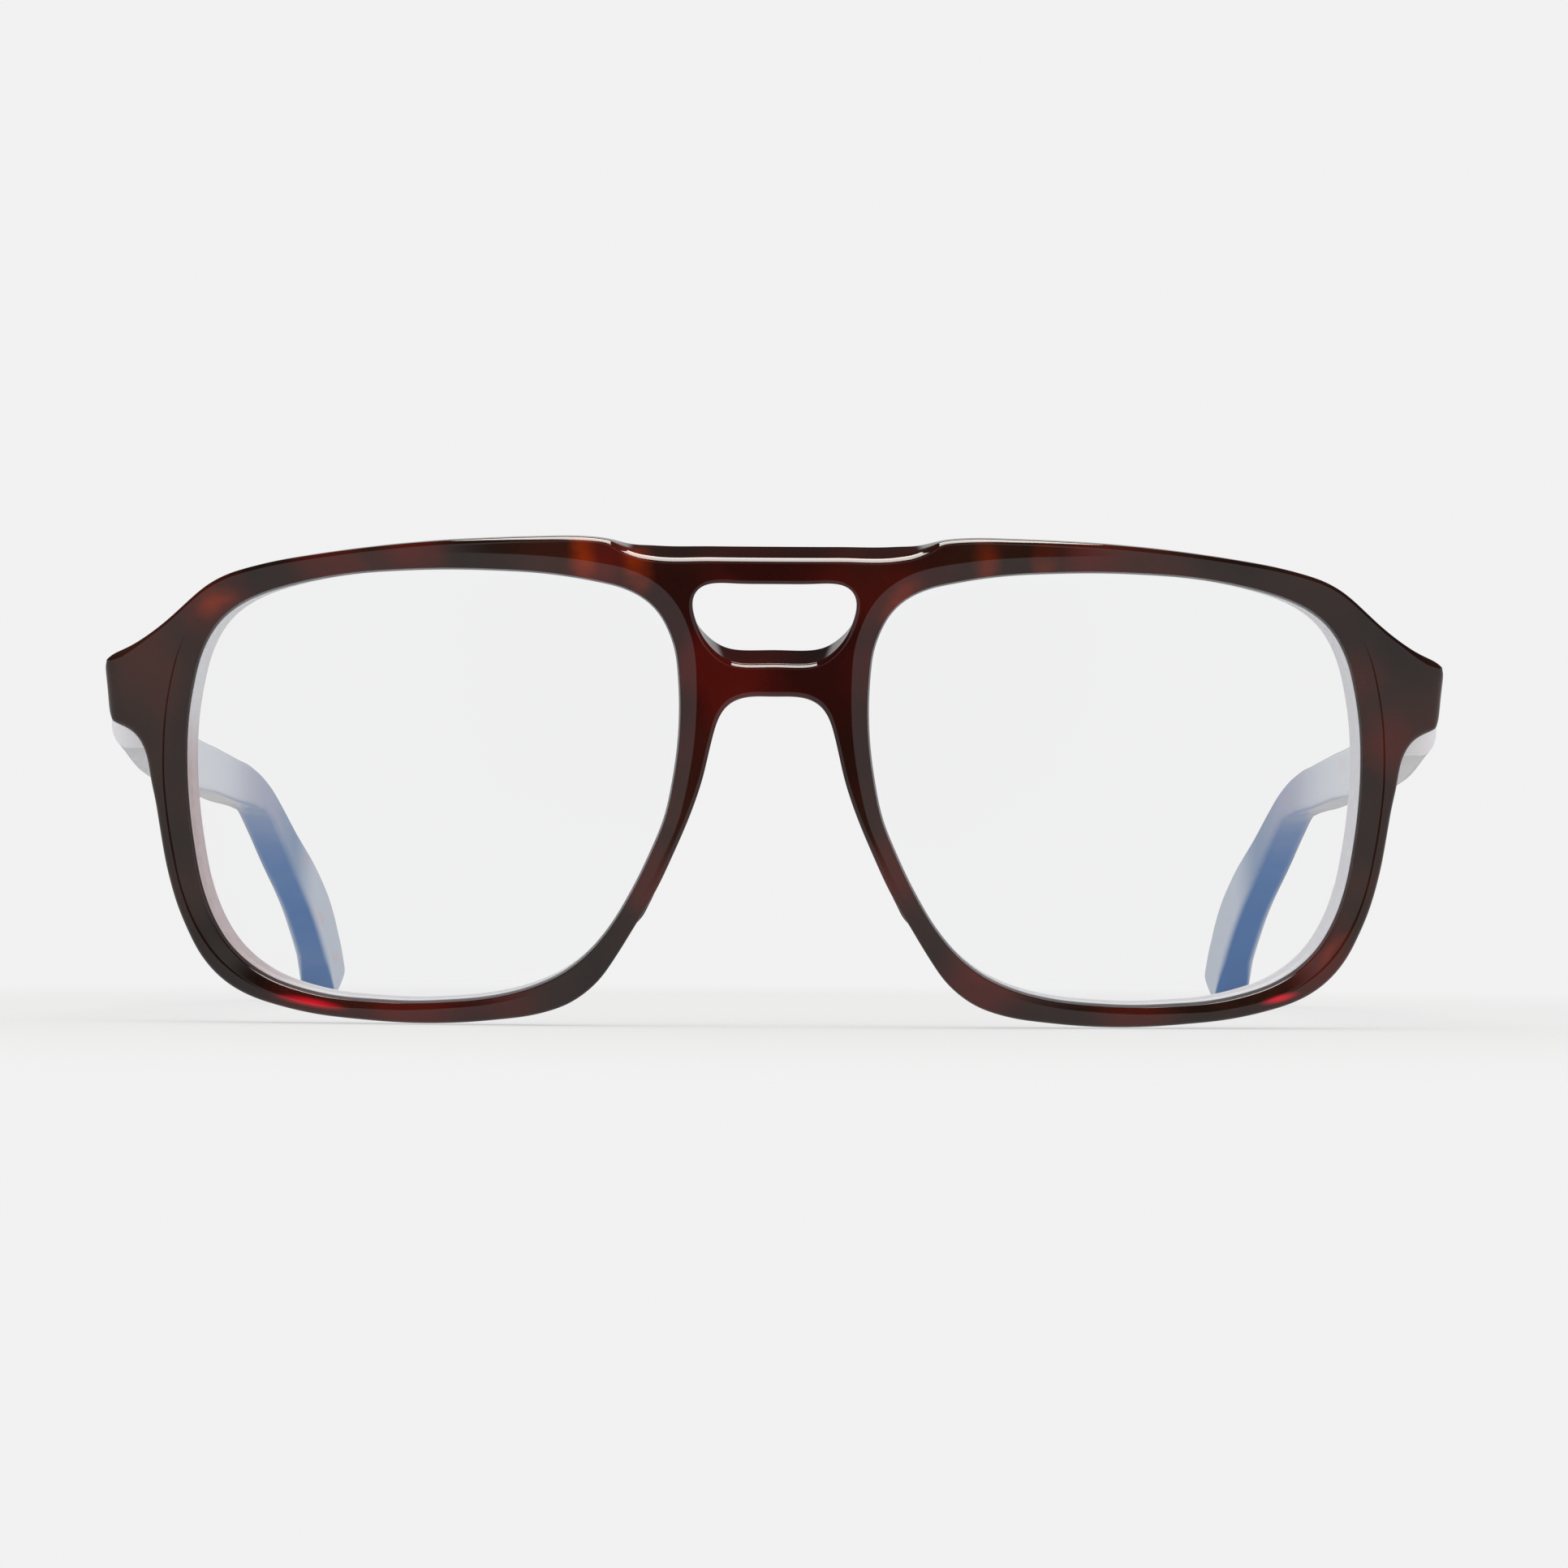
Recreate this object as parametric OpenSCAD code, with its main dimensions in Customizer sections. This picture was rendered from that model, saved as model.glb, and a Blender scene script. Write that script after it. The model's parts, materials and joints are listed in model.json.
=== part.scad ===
// Double bridge spectacles: a bowed acetate front with two bridge bars, two glazed
// lenses, two laminated temples on five-barrel hinges.
// X is the width, +X the wearer's left. The front faces -Y. The glasses stand open on
// the table, z = 0, on the bottoms of the rims and the tips of the temples.

/* [Lens openings] */
// Width of a lens opening
lens_w = 56.5; // [50:0.5:60]
// Height of a lens opening
lens_h = 49.2; // [44:0.5:54]
// Width of the bridge between the two lens openings
bridge_w = 20.9; // [19.5:0.1:23]

/* [Front] */
// Height of the brow above a lens opening
rim_top = 3.6; // [3.2:0.1:4.4]
// Height of the rim below a lens opening
rim_bottom = 2.2; // [2:0.1:3]
// Reach of an end piece past the lens opening
end_w = 9.05; // [8.6:0.05:10]
// Thickness of the front
front_t = 5.5; // [4.8:0.1:5.8]
// Radius of the ball that the front is bowed to
front_r = 300; // [260:5:340]
// Slope of the bars' upper faces and of the window, back and up
bar_slope = 15; // [8:1:20]
// Width of the bevel round a lens at its narrowest
bevel_w = 1; // [0.6:0.1:1.2]
// Width that the bevel gains towards the temple
bevel_gain = 1.1; // [0.4:0.1:1.4]
// Depth of the bevel at the lens opening
bevel_drop = 0.6; // [0.3:0.1:0.9]

/* [Bridge] */
// Height of the top bar at its front edge
top_bar_h = 2.9; // [2.4:0.1:3.6]
// Height of the lower bar at its front edge
low_bar_h = 3.55; // [2.8:0.05:4.2]
// Distance across from the window to the nearest edge of a lens opening
window_wall = 1.55; // [1.3:0.05:3]
// Height that the top bar stands back below the brows
bar_step = 2.6; // [2.2:0.1:2.8]

/* [Lenses] */
// Thickness of a lens
lens_t = 2; // [1.6:0.1:2.4]
// Depth of the lens's face behind the front's face
lens_set = 1.7; // [1.4:0.1:2]
// Thickness of the tongue round the lens's edge
tongue_t = 0.8; // [0.6:0.1:1]
// Reach of the tongue into the rim
tongue_w = 0.7; // [0.5:0.1:0.8]

/* [Nose pads] */
// Radius of a pad at its upper end
pad_top_r = 2.2; // [1.8:0.1:2.4]
// Radius of a pad at its middle
pad_mid_r = 2.5; // [2:0.1:2.7]
// Radius of a pad at its lower end
pad_low_r = 2.1; // [1.8:0.1:2.3]
// How far the middle of a pad stands behind the front
pad_out = 2.4; // [1.8:0.1:3]

/* [Temples] */
// Length of a temple along its spine, set level
temple_l = 118.6; // [110:1:130]
// Drop of the temple's tip below its front end
temple_drop = 47.2; // [44:0.5:50]
// Height of a temple at its front end
temple_h = 8.6; // [8:0.1:9.2]
// Whole thickness of a temple
temple_t = 4.4; // [4:0.1:4.8]
// Thickness of the outer layer of a temple
outer_t = 1.2; // [0.9:0.1:1.5]
// Distance of a temple's inner face past the lens opening
temple_set = 4.05; // [3.85:0.05:4.4]
// How far a temple's tip comes in towards the head
tip_in = 7.5; // [4:0.5:9]

/* [Hinges] */
// Radius of a hinge barrel
barrel_r = 1.5; // [1.3:0.1:1.6]
// Height of one barrel
barrel_h = 1.25; // [1.1:0.05:1.3]
// Radius of the hinge screw
screw_r = 0.7; // [0.6:0.05:0.8]
// Radius of the screw's head
screw_head_r = 1.15; // [1:0.05:1.3]
// Height of the screw's head
screw_head_h = 0.5; // [0.4:0.05:0.6]
// Width of the slot in the screw's head
screw_slot = 0.3; // [0.25:0.05:0.35]
// Thickness of a hinge plate
plate_t = 0.9; // [0.7:0.05:1]
// Width of the plate on the front
front_plate_w = 3; // [2.6:0.1:3.2]
// Length of the plate on the temple
temple_plate_l = 13.5; // [11:0.5:15]
// Width of the steel core in a temple
core_w = 1.4; // [1:0.1:1.6]
// Thickness of the steel core in a temple
core_t = 0.9; // [0.7:0.1:1]

/* [Clearances] */
// Clearance round a lens in its groove
lens_fit = 0.05; // [0.03:0.01:0.08]
// Running clearance between the screw and the barrels
screw_fit = 0.04; // [0.03:0.01:0.08]
// Gap between neighbouring barrels
barrel_gap = 0.08; // [0.06:0.01:0.12]
// Gap between an open temple and the end piece
temple_gap = 0.15; // [0.1:0.05:0.3]
// Clearance round a plate or core in its pocket
pocket_fit = 0.03; // [0.02:0.01:0.05]
// Gap between a hinge's moving leaf and what it swings past
swing_gap = 0.35; // [0.3:0.05:0.45]

/* [Hidden] */
$fn = 64;

// Colours as the object shows them
tortoise = [0.25, 0.11, 0.07];
ice = [0.72, 0.80, 0.90];
crystal = [0.86, 0.85, 0.86];
clear = [0.86, 0.91, 0.96, 0.35];
steel = [0.72, 0.72, 0.74];

// Barrels on one hinge, three on the front and two on the temple between them
barrel_count = 5;
// How far cuts run past the faces that they cut
overrun = 2;
// Length of the straight facets that the curved outlines are made of
facet_l = 1.7;
// Facets round the great ball of the front
ball_facets = 720;
// Facets round a pad's spheres
pad_facets = 24;
// Turns of the arc at a temple's tip
tip_steps = 16;

// The outlines are drawn on squared sheets; the shares count squares. These are the
// squares that the sizes above take up on the sheets.
lens_w_share = 56.5;
lens_h_share = 49.2;
bridge_w_share = 20.9;
rim_top_share = 3.6;
rim_bottom_share = 2.2;
end_w_share = 9.05;
window_w_share = 17.8;
window_h_share = 8.6;
bar_step_share = 2.6;
temple_l_share = 118.6;
temple_drop_share = 47.2;
// Middle of a lens below the middle of the front's sheet
lens_down_share = 0.9;
// Middle of the hinge above the middle of the front's sheet
hinge_up_share = 7.1;

// Length of the steel core as a share of the temple's
core_share = 0.86;
// Height of the temple's hinge plate as a share of the temple's
plate_share = 0.6;
// Wall between the hinge plate's pocket and the core's channel
core_wall = 0.15;

// Right half of the front, from the top bar over the brow and the end piece,
// down the rim and up to the nose arch, from the middle of the front
front_shares = [
    [0, 26.25], [7, 26.25], [13.9, 26.3], [16.6, 26.45], [18.2, 26.9], [21.5, 27.25],
    [26.6, 27.2], [31.8, 27], [36.5, 26.75], [41.3, 26.35], [47.6, 25.6], [52.3, 24.9],
    [56.7, 24.1], [59.5, 23.4], [61.9, 22.6], [64.1, 21.4], [66.4, 19.5], [68.4, 17.7],
    [70.7, 15.9], [73.1, 14.4], [75, 13.3], [75.75, 12.8], [76, 12.2], [75.9, 10.9],
    [75.75, 9], [75.4, 6.6], [75.15, 5.8], [74.5, 5.4], [73.6, 5.1], [72.6, 4.4],
    [71.6, 3.1], [71, 1.3], [70.7, -0.6], [70.2, -2.9], [69.8, -5.4], [68.8, -11.1],
    [67.6, -15.3], [66.6, -17.7], [65.2, -20.4], [63.4, -22.6], [61.5, -24.1],
    [59.3, -25.2], [56, -26.2], [52, -27], [46.7, -27.5], [40.6, -27.75], [36.5, -27.65],
    [31.4, -27.2], [26, -26.3], [23, -25.2], [20.8, -23.7], [19.3, -22.2], [17.7, -19.9],
    [15.5, -16.3], [13, -12], [11, -7.7], [10, -5.4], [8.9, -2.6], [7.9, 0.5],
    [7.1, 3.9], [6.5, 6.2], [6.05, 7.4], [5.3, 8.5], [4.2, 9.25], [2.8, 9.6], [0, 9.65]
];
// Left lens opening, from its middle, starting at the top
lens_shares = [
    [-2.1, 24.55], [-6.8, 24.5], [-13.8, 24.1], [-18.4, 23.4], [-21.8, 22.6],
    [-23.9, 21.6], [-25.8, 19.9], [-27, 17.8], [-27.75, 15.6], [-28.1, 12.8],
    [-28.25, 9.5], [-28.1, 5.5], [-27.5, 1], [-26.6, -3.1], [-25, -7.1], [-22.7, -11.8],
    [-20.4, -15.6], [-17.8, -18.7], [-15, -20.9], [-11.4, -22.6], [-6.8, -23.8],
    [-2.1, -24.35], [2.7, -24.6], [6.7, -24.5], [11.3, -24.2], [14.9, -23.5],
    [18.5, -22.3], [20.9, -20.9], [23.3, -18.7], [25.2, -15.7], [26.6, -11.9],
    [27.5, -7.2], [28.1, -1.8], [28.25, 2.5], [27.95, 7.9], [27.4, 11.1], [26.7, 13.9],
    [25.5, 16.6], [24.1, 18.5], [22.1, 20.1], [19.5, 21.4], [17.1, 22.2], [13.5, 23.1],
    [8.8, 23.9], [2.6, 24.4]
];
// Right half of the bridge window, from its middle
window_shares = [
    [0, 4.3], [3.5, 4.3], [6.7, 4.28], [8, 3.9], [8.6, 3.2], [8.85, 2.2], [8.7, 1],
    [8.4, 0], [8, -1], [7.4, -2], [6.7, -2.8], [6, -3.4], [4.9, -4.1], [3.6, -4.3],
    [0, -4.3]
];
// Right half of the step from the top bar up to the brow, across from the middle and
// up from the top bar; the first and last points only steer the curve
step_shares = [[-7, 0], [0, 0], [7, 0], [13.6, 0.02], [15.4, 0.3], [17.2, 1],
               [18.4, 1.75], [19.6, 2.4], [21.4, 3], [22.4, 4]];
// Upper end, middle and lower end of a nose pad, from the middle of the front
pad_shares = [[8.4, 5.4], [11.2, -4.5], [14.7, -14]];
// Spine of a temple from its front end: back, up, and share of the front end's height
spine_shares = [
    [-6, 1.7, 1], [0, 0, 1], [6.4, -2.35, 0.88], [13.4, -4.75, 0.8], [20.8, -6.8, 0.75],
    [28.4, -8.4, 0.73], [46.4, -11.1, 0.69], [64, -13.8, 0.62], [75, -15.5, 0.56],
    [82, -16.9, 0.55], [87.6, -19, 0.6], [93.4, -22.4, 0.68], [100.4, -27.4, 0.74],
    [107.2, -33.1, 0.76], [112.8, -38.8, 0.77], [116.6, -43.6, 0.75], [118.6, -47.2, 0.7]
];
// Bow of a temple in plan: share of its length, share of the tip's inset; the first
// and last points only steer the curve
bow_shares = [[-1, 0], [-0.03, 0], [0.3, 0], [0.58, 0], [0.68, 0.03], [0.76, 0.15],
              [0.84, 0.36], [0.92, 0.66], [1, 1], [1.06, 1.24], [1.14, 1.58]];

// A smooth curve through points, with steps that follow the distance between them
function chord(a, b) = norm(b - a);
function pull(a, b, c) = ((b - a) * chord(b, c) / chord(a, b)
    + (c - b) * chord(a, b) / chord(b, c)) / (chord(a, b) + chord(b, c));
function bend_at(a, b, c, d, t) = let(s = 1 - t)
    b * s * s * (1 + t + t) + pull(a, b, c) * chord(b, c) * t * s * s
    + c * t * t * (1 + s + s) - pull(b, c, d) * chord(b, c) * t * t * s;
function step_count(a, b) = max(1, round(chord(a, b) / facet_l));
function closed_curve(pts) = let(n = len(pts)) [
    for (i = [0 : n - 1])
    let(a = pts[(i + n - 1) % n], b = pts[i], c = pts[(i + 1) % n], d = pts[(i + 2) % n])
    for (k = [0 : step_count(b, c) - 1]) bend_at(a, b, c, d, k / step_count(b, c))
];
function open_curve(pts) = let(n = len(pts)) concat([
    for (i = [1 : n - 3])
    let(a = pts[i - 1], b = pts[i], c = pts[i + 1], d = pts[i + 2])
    for (k = [0 : step_count(b, c) - 1]) bend_at(a, b, c, d, k / step_count(b, c))
], [pts[n - 2]]);
// Both halves of an outline whose right half starts and ends on the middle line
function both_halves(half) = concat(half, [
    for (i = [len(half) - 2 : -1 : 1]) [-half[i].x, half[i].y]
]);
function flip(pts) = [for (i = [len(pts) - 1 : -1 : 0]) [-pts[i].x, pts[i].y]];
// A place on the front's sheet at its real size: the bridge, the lens openings, the
// end pieces and the rims each stretch with their own size
function stretch(share, shares, sizes, i = 0) =
    i == len(shares) - 1 || share <= shares[i]
    ? share * sizes[i] / shares[i]
    : sizes[i] + stretch(share - shares[i], shares, sizes, i + 1);
function place_x(share) = stretch(share, [bridge_w_share / 2, lens_w_share, end_w_share],
    [bridge_w / 2, lens_w, end_w]);
lens_top_share = lens_h_share / 2 - lens_down_share;
lens_low_share = lens_h_share / 2 + lens_down_share;
lens_scale_y = lens_h / lens_h_share;
function place_y(share) = share > 0
    ? stretch(share, [lens_top_share, rim_top_share],
              [lens_top_share * lens_scale_y, rim_top])
    : -stretch(-share, [lens_low_share, rim_bottom_share],
               [lens_low_share * lens_scale_y, rim_bottom]);
function place(p) = [place_x(p.x), place_y(p.y)];
function on_sheet(pts, w, h) = [for (p = pts) [p.x * w, p.y * h]];
// An outline moved outwards by d, for points that run anticlockwise
function side_of(a, b) = let(t = (b - a) / chord(a, b)) [t.y, -t.x];
function spread(pts, d) = let(n = len(pts)) [
    for (i = [0 : n - 1])
    let(m = side_of(pts[(i + n - 1) % n], pts[(i + 1) % n])) pts[i] + m * d
];

// The outlines at their real size
front_outline = closed_curve(both_halves([for (p = front_shares) place(p)]));
front_w = bridge_w + 2 * (lens_w + end_w);
front_h = rim_top + lens_h + rim_bottom;
lens_mid = [(bridge_w + lens_w) / 2, -lens_down_share * lens_scale_y];
lens_outline = [for (p = closed_curve(
    on_sheet(lens_shares, lens_w / lens_w_share, lens_scale_y))) p + lens_mid];

// Depth of the front's face behind its foremost point
function sag(p) = front_r - sqrt(front_r * front_r - p.x * p.x - p.y * p.y);

// Brow line, the top bar's step down from it, and the window between the two bars
brow_up = max([for (p = front_outline) p.y]);
bar_up = brow_up - bar_step;
bar_scale = bar_step / bar_step_share;
step_half = [for (p = step_shares) [sign(p.x) * place_x(abs(p.x)), p.y * bar_scale]];
step_line = [for (p = open_curve(step_half)) [p.x, bar_up + p.y]];
arch_up = place_y(front_shares[len(front_shares) - 1].y);
window_w = bridge_w - 2 * window_wall;
window_h = bar_up - top_bar_h - arch_up - low_bar_h;
window_up = arch_up + low_bar_h + window_h / 2;
window_outline = [for (p = closed_curve(both_halves(
    on_sheet(window_shares, window_w / window_w_share, window_h / window_h_share))))
    [p.x, p.y + window_up]];

// Hinge places: the back of the end piece, the axis and its distance from the middle
temple_x = bridge_w / 2 + lens_w + temple_set;
hinge_up = place_y(hinge_up_share);
hinge_x = temple_x - barrel_r - swing_gap;
end_back = sag([hinge_x, hinge_up]) + front_t;
temple_front = end_back + temple_gap;
hinge_back = temple_front + barrel_r;
barrel_pitch = barrel_h + barrel_gap;
hinge_h = barrel_count * barrel_h + (barrel_count - 1) * barrel_gap;

// The temple's spine: back, up, half height
spine_scale = [temple_l / temple_l_share, temple_drop / temple_drop_share, temple_h / 2];
spine_rows = [for (p = spine_shares)
    [p.x * spine_scale.x + temple_front, p.y * spine_scale.y + hinge_up,
     p.z * spine_scale.z]];
spine = open_curve(concat([spine_rows[0] * 2 - spine_rows[1]], spine_rows,
    [spine_rows[len(spine_rows) - 1] * 2 - spine_rows[len(spine_rows) - 2]]));
tip = spine[len(spine) - 1];
function flat_side(a, b) = side_of([a.x, a.y], [b.x, b.y]);
function spine_side(i) = flat_side(spine[max(0, i - 1)], spine[min(len(spine) - 1, i + 1)]);
tip_turn = let(m = spine_side(len(spine) - 1)) atan2(m.y, m.x);
// Outline of a band along the spine; its half height is a share of the temple's, or set
function band(share, set, round_tip) = let(n = len(spine)) concat(
    [for (i = [0 : n - 1]) let(p = spine[i]) [p.x, p.y]
        + spine_side(i) * (p.z * share + set)],
    round_tip ? [for (k = [1 : tip_steps - 1]) let(a = tip_turn + 180 * k / tip_steps)
        [tip.x, tip.y] + [cos(a), sin(a)] * (tip.z * share + set)] : [],
    [for (i = [n - 1 : -1 : 0]) let(p = spine[i]) [p.x, p.y]
        - spine_side(i) * (p.z * share + set)]);

// The temple's bow in plan, as distance back and distance from the middle plane
bow = open_curve([for (p = bow_shares) [p.x * temple_l, p.y * tip_in]]);
function plan_strip(from, to, early) = concat(
    [for (p = bow) if (p.x > facet_l) [temple_x + from - p.y, temple_front + p.x]],
    [for (i = [len(bow) - 1 : -1 : 0]) if (bow[i].x > facet_l)
        [temple_x + to - bow[i].y, temple_front + bow[i].x]],
    [[temple_x + to, temple_front - early], [temple_x + from, temple_front - early]]);

// The front leans so that the rims' bottoms and the temples' tips meet the table
rim_low = front_outline[search(min([for (p = front_outline) p.y]),
    [for (p = front_outline) p.y])[0]];
tip_run = tip.x - sag(rim_low);
tip_fall = tip.y - rim_low.y;
lean = asin(tip.z / norm([tip_run, tip_fall])) - atan2(tip_fall, tip_run);
rise = -min([for (p = front_outline) sag(p) * sin(lean) + p.y * cos(lean)]);
back_end = tip.x * cos(lean) - tip.y * sin(lean) + tip.z;
front_end = sag([0, bar_up]) * cos(lean) - bar_up * sin(lean);
middle = (front_end + back_end) / 2;

// Everything is drawn with the front upright and is then leaned onto the table
module on_table() {
    translate([0, -middle, rise]) rotate([lean, 0, 0]) children();
}
// An outline, drawn as seen from the front, taken through from one depth to another
module through(pts, from, to) {
    translate([0, to, 0]) rotate([90, 0, 0]) linear_extrude(to - from) polygon(pts);
}
// The same, but running back and up along the slope of the bars
module sloped_through(pts) {
    rotate([bar_slope, 0, 0])
        through([for (p = pts) [p.x, p.y * cos(bar_slope)]], 0, front_h / 2);
}
// A side view outline, as back and up, taken through from one width to another
module across(pts, from, to) {
    translate([from, 0, 0]) rotate([90, 0, 90]) linear_extrude(to - from) polygon(pts);
}
module ball(depth) {
    translate([0, front_r, 0]) sphere(front_r - depth, $fn = ball_facets);
}
// What lies between two depths behind the bowed face, inside an outline
module bowed_sheet(pts, from, to) {
    difference() {
        intersection() {
            through(pts, -overrun, end_back + front_t);
            ball(from);
        }
        ball(to);
    }
}
module for_side(side) {
    if (side > 0) {
        children();
    } else {
        mirror([1, 0, 0]) children();
    }
}

// Lens opening with its groove
module opening() {
    through(lens_outline, -overrun, end_back + front_t);
    bowed_sheet(spread(lens_outline, tongue_w),
                lens_set + (lens_t - tongue_t) / 2 - lens_fit,
                lens_set + (lens_t + tongue_t) / 2 + lens_fit);
}
// Bevel round a lens opening, wider towards the temple; a point's reach is 0 at the
// opening and 1 at the bevel's outer edge
function bevel_at(p) = bevel_w + bevel_gain
    * pow(max(0, (p.x - lens_mid.x) / (lens_w / 2)), 2);
function opening_side(i) = let(n = len(lens_outline))
    side_of(lens_outline[(i + n - 1) % n], lens_outline[(i + 1) % n]);
function bevel_point(i, reach) = let(p = lens_outline[i],
    q = p + opening_side(i) * reach * bevel_at(p))
    [q.x, sag(q) + bevel_drop * (1 - reach), q.y];
module bevel() {
    n = len(lens_outline);
    outer_ring = [for (i = [0 : n - 1]) bevel_point(i, 2)];
    inner_ring = [for (i = [0 : n - 1]) bevel_point(i, -1)];
    inner_front = [for (p = inner_ring) [p.x, -overrun, p.z]];
    outer_front = [for (p = outer_ring) [p.x, -overrun, p.z]];
    polyhedron(concat(outer_ring, inner_ring, inner_front, outer_front), [
        for (r = [0 : 3], i = [0 : n - 1], k = [0, 1])
        let(j = (i + 1) % n, s = (r + 1) % 4)
        k == 0 ? [r * n + i, r * n + j, s * n + j] : [r * n + i, s * n + j, s * n + i]
    ]);
}

// Bowed acetate front with both bridge bars
module front() {
    color(tortoise) on_table() difference() {
        intersection() {
            through(front_outline, -overrun, end_back);
            ball(0);
        }
        ball(front_t);
        for (side = [-1, 1]) {
            for_side(side) opening();
            for_side(side) bevel();
            for_side(side) front_plate(pocket_fit);
        }
        sloped_through(window_outline);
        sloped_through(concat(step_line, [[step_line[len(step_line) - 1].x, front_h],
            [-step_line[len(step_line) - 1].x, front_h]], flip(step_line)));
    }
}

// Spherical lens with a tongue round its edge
module lens(side) {
    tongue_front = lens_set + (lens_t - tongue_t) / 2;
    color(clear) on_table() for_side(side) union() {
        bowed_sheet(spread(lens_outline, -lens_fit), lens_set, lens_set + lens_t);
        bowed_sheet(spread(lens_outline, tongue_w - lens_fit), tongue_front,
                    tongue_front + tongue_t);
    }
}

// Acetate pad glued to the back of the rim beside the nose
module nose_pad(side) {
    radii = [pad_top_r, pad_mid_r, pad_low_r];
    stand_off = [0, pad_out, 0];
    color(tortoise) on_table() for_side(side) intersection() {
        hull() for (i = [0 : 2]) {
            p = place(pad_shares[i]);
            translate([p.x, sag(p) + front_t + stand_off[i], p.y])
                sphere(radii[i], $fn = pad_facets);
        }
        ball(front_t);
    }
}

// Plate let into the back of the end piece, grown by the clearance of its pocket
module front_plate(grow) {
    translate([temple_x - front_plate_w - grow, end_back - plate_t - grow,
               hinge_up - hinge_h / 2 - grow])
        cube([front_plate_w + 2 * grow, plate_t + 2 * grow, hinge_h + 2 * grow]);
}
// One barrel, counted from the lowest, standing on the hinge axis
module barrel_at(i) {
    translate([hinge_x, hinge_back, hinge_up - hinge_h / 2 + i * barrel_pitch])
        cylinder(h = barrel_h, r = barrel_r);
}
module screw_hole(r) {
    translate([hinge_x, hinge_back, hinge_up - hinge_h / 2 - overrun])
        cylinder(h = hinge_h + 2 * overrun, r = r);
}

// Leaf on the front: plate and three barrels
module front_hinge(side) {
    color(steel) on_table() for_side(side) difference() {
        union() {
            front_plate(0);
            for (i = [0 : 2 : barrel_count - 1]) {
                barrel_at(i);
                translate([temple_x - front_plate_w, end_back - plate_t / 2,
                           hinge_up - hinge_h / 2 + i * barrel_pitch])
                    cube([hinge_x + barrel_r - temple_x + front_plate_w,
                          hinge_back - end_back + plate_t / 2, barrel_h]);
            }
        }
        screw_hole(screw_r + screw_fit);
    }
}

// Screw through all five barrels, with a slotted head above them
module hinge_screw(side) {
    color(steel) on_table() for_side(side) difference() {
        union() {
            translate([hinge_x, hinge_back, hinge_up - hinge_h / 2])
                cylinder(h = hinge_h + screw_head_h / 2, r = screw_r);
            translate([hinge_x, hinge_back, hinge_up + hinge_h / 2])
                cylinder(h = screw_head_h, r = screw_head_r);
        }
        translate([hinge_x - screw_head_r - overrun, hinge_back - screw_slot / 2,
                   hinge_up + hinge_h / 2 + screw_head_h / 2])
            cube([2 * (screw_head_r + overrun), screw_slot, screw_head_h]);
    }
}

// Outline of the plate on the temple: a neck as long as the barrels are deep, then a
// band that follows the temple's spine
plate_neck = 2 * barrel_r;
plate_band = [for (p = spine) if (p.x > temple_front + plate_neck + barrel_r
    && p.x < temple_front + temple_plate_l) p];
plate_outline = let(n = len(plate_band), reach = hinge_h / 2 - barrel_pitch) concat(
    [[temple_front, hinge_up - reach], [temple_front + plate_neck, hinge_up - reach]],
    [for (i = [0 : n - 1]) [plate_band[i].x,
        plate_band[i].y - plate_band[i].z * plate_share]],
    [for (i = [n - 1 : -1 : 0]) [plate_band[i].x,
        plate_band[i].y + plate_band[i].z * plate_share]],
    [[temple_front + plate_neck, hinge_up + reach], [temple_front, hinge_up + reach]]);

// Leaf on the temple: plate and two barrels
module temple_hinge(side) {
    color(steel) on_table() for_side(side) difference() {
        union() {
            across(plate_outline, temple_x, temple_x + plate_t);
            for (i = [1 : 2 : barrel_count - 1]) {
                barrel_at(i);
                translate([hinge_x, temple_front,
                           hinge_up - hinge_h / 2 + i * barrel_pitch])
                    cube([temple_x - hinge_x + plate_t / 2, plate_neck, barrel_h]);
            }
        }
        screw_hole(screw_r + screw_fit);
    }
}

// Steel core that runs along the middle of a temple, grown by its channel's clearance
module core(grow, early) {
    inner = plate_t + core_wall;
    core_end = temple_front + temple_l * core_share + grow;
    intersection() {
        across(band(0, core_w / 2 + grow, false), 0, front_w);
        translate([0, 0, -front_h]) linear_extrude(2 * front_h)
            polygon(plan_strip(inner - grow, inner + core_t + grow, early));
        translate([0, 0, -front_h])
            cube([front_w, core_end, 2 * front_h]);
    }
}
module temple_core(side) {
    color(steel) on_table() for_side(side) core(0, 0);
}

// A layer of a temple between two distances from its inner face
module layer(from, to) {
    intersection() {
        across(band(1, 0, true), 0, front_w);
        translate([0, 0, -front_h]) linear_extrude(2 * front_h)
            polygon(plan_strip(from, to, 0));
    }
}
module temple(side) {
    color(crystal) on_table() for_side(side) layer(temple_t - outer_t, temple_t);
}
// Inner layer, with the pocket of the hinge plate and the channel of the core
module temple_lining(side) {
    color(ice) on_table() for_side(side) difference() {
        layer(0, temple_t - outer_t);
        across(spread(plate_outline, pocket_fit), 0, temple_x + plate_t + pocket_fit);
        core(pocket_fit, overrun);
    }
}

front();
lens(1);  // lens_left
lens(-1);  // lens_right
nose_pad(1);  // nose_pad_left
nose_pad(-1);  // nose_pad_right
front_hinge(1);  // front_hinge_left
front_hinge(-1);  // front_hinge_right
hinge_screw(1);  // hinge_screw_left
hinge_screw(-1);  // hinge_screw_right
temple(1);  // temple_left
temple(-1);  // temple_right
temple_lining(1);  // temple_lining_left
temple_lining(-1);  // temple_lining_right
temple_core(1);  // temple_core_left
temple_core(-1);  // temple_core_right
temple_hinge(1);  // temple_hinge_left
temple_hinge(-1);  // temple_hinge_right
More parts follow.
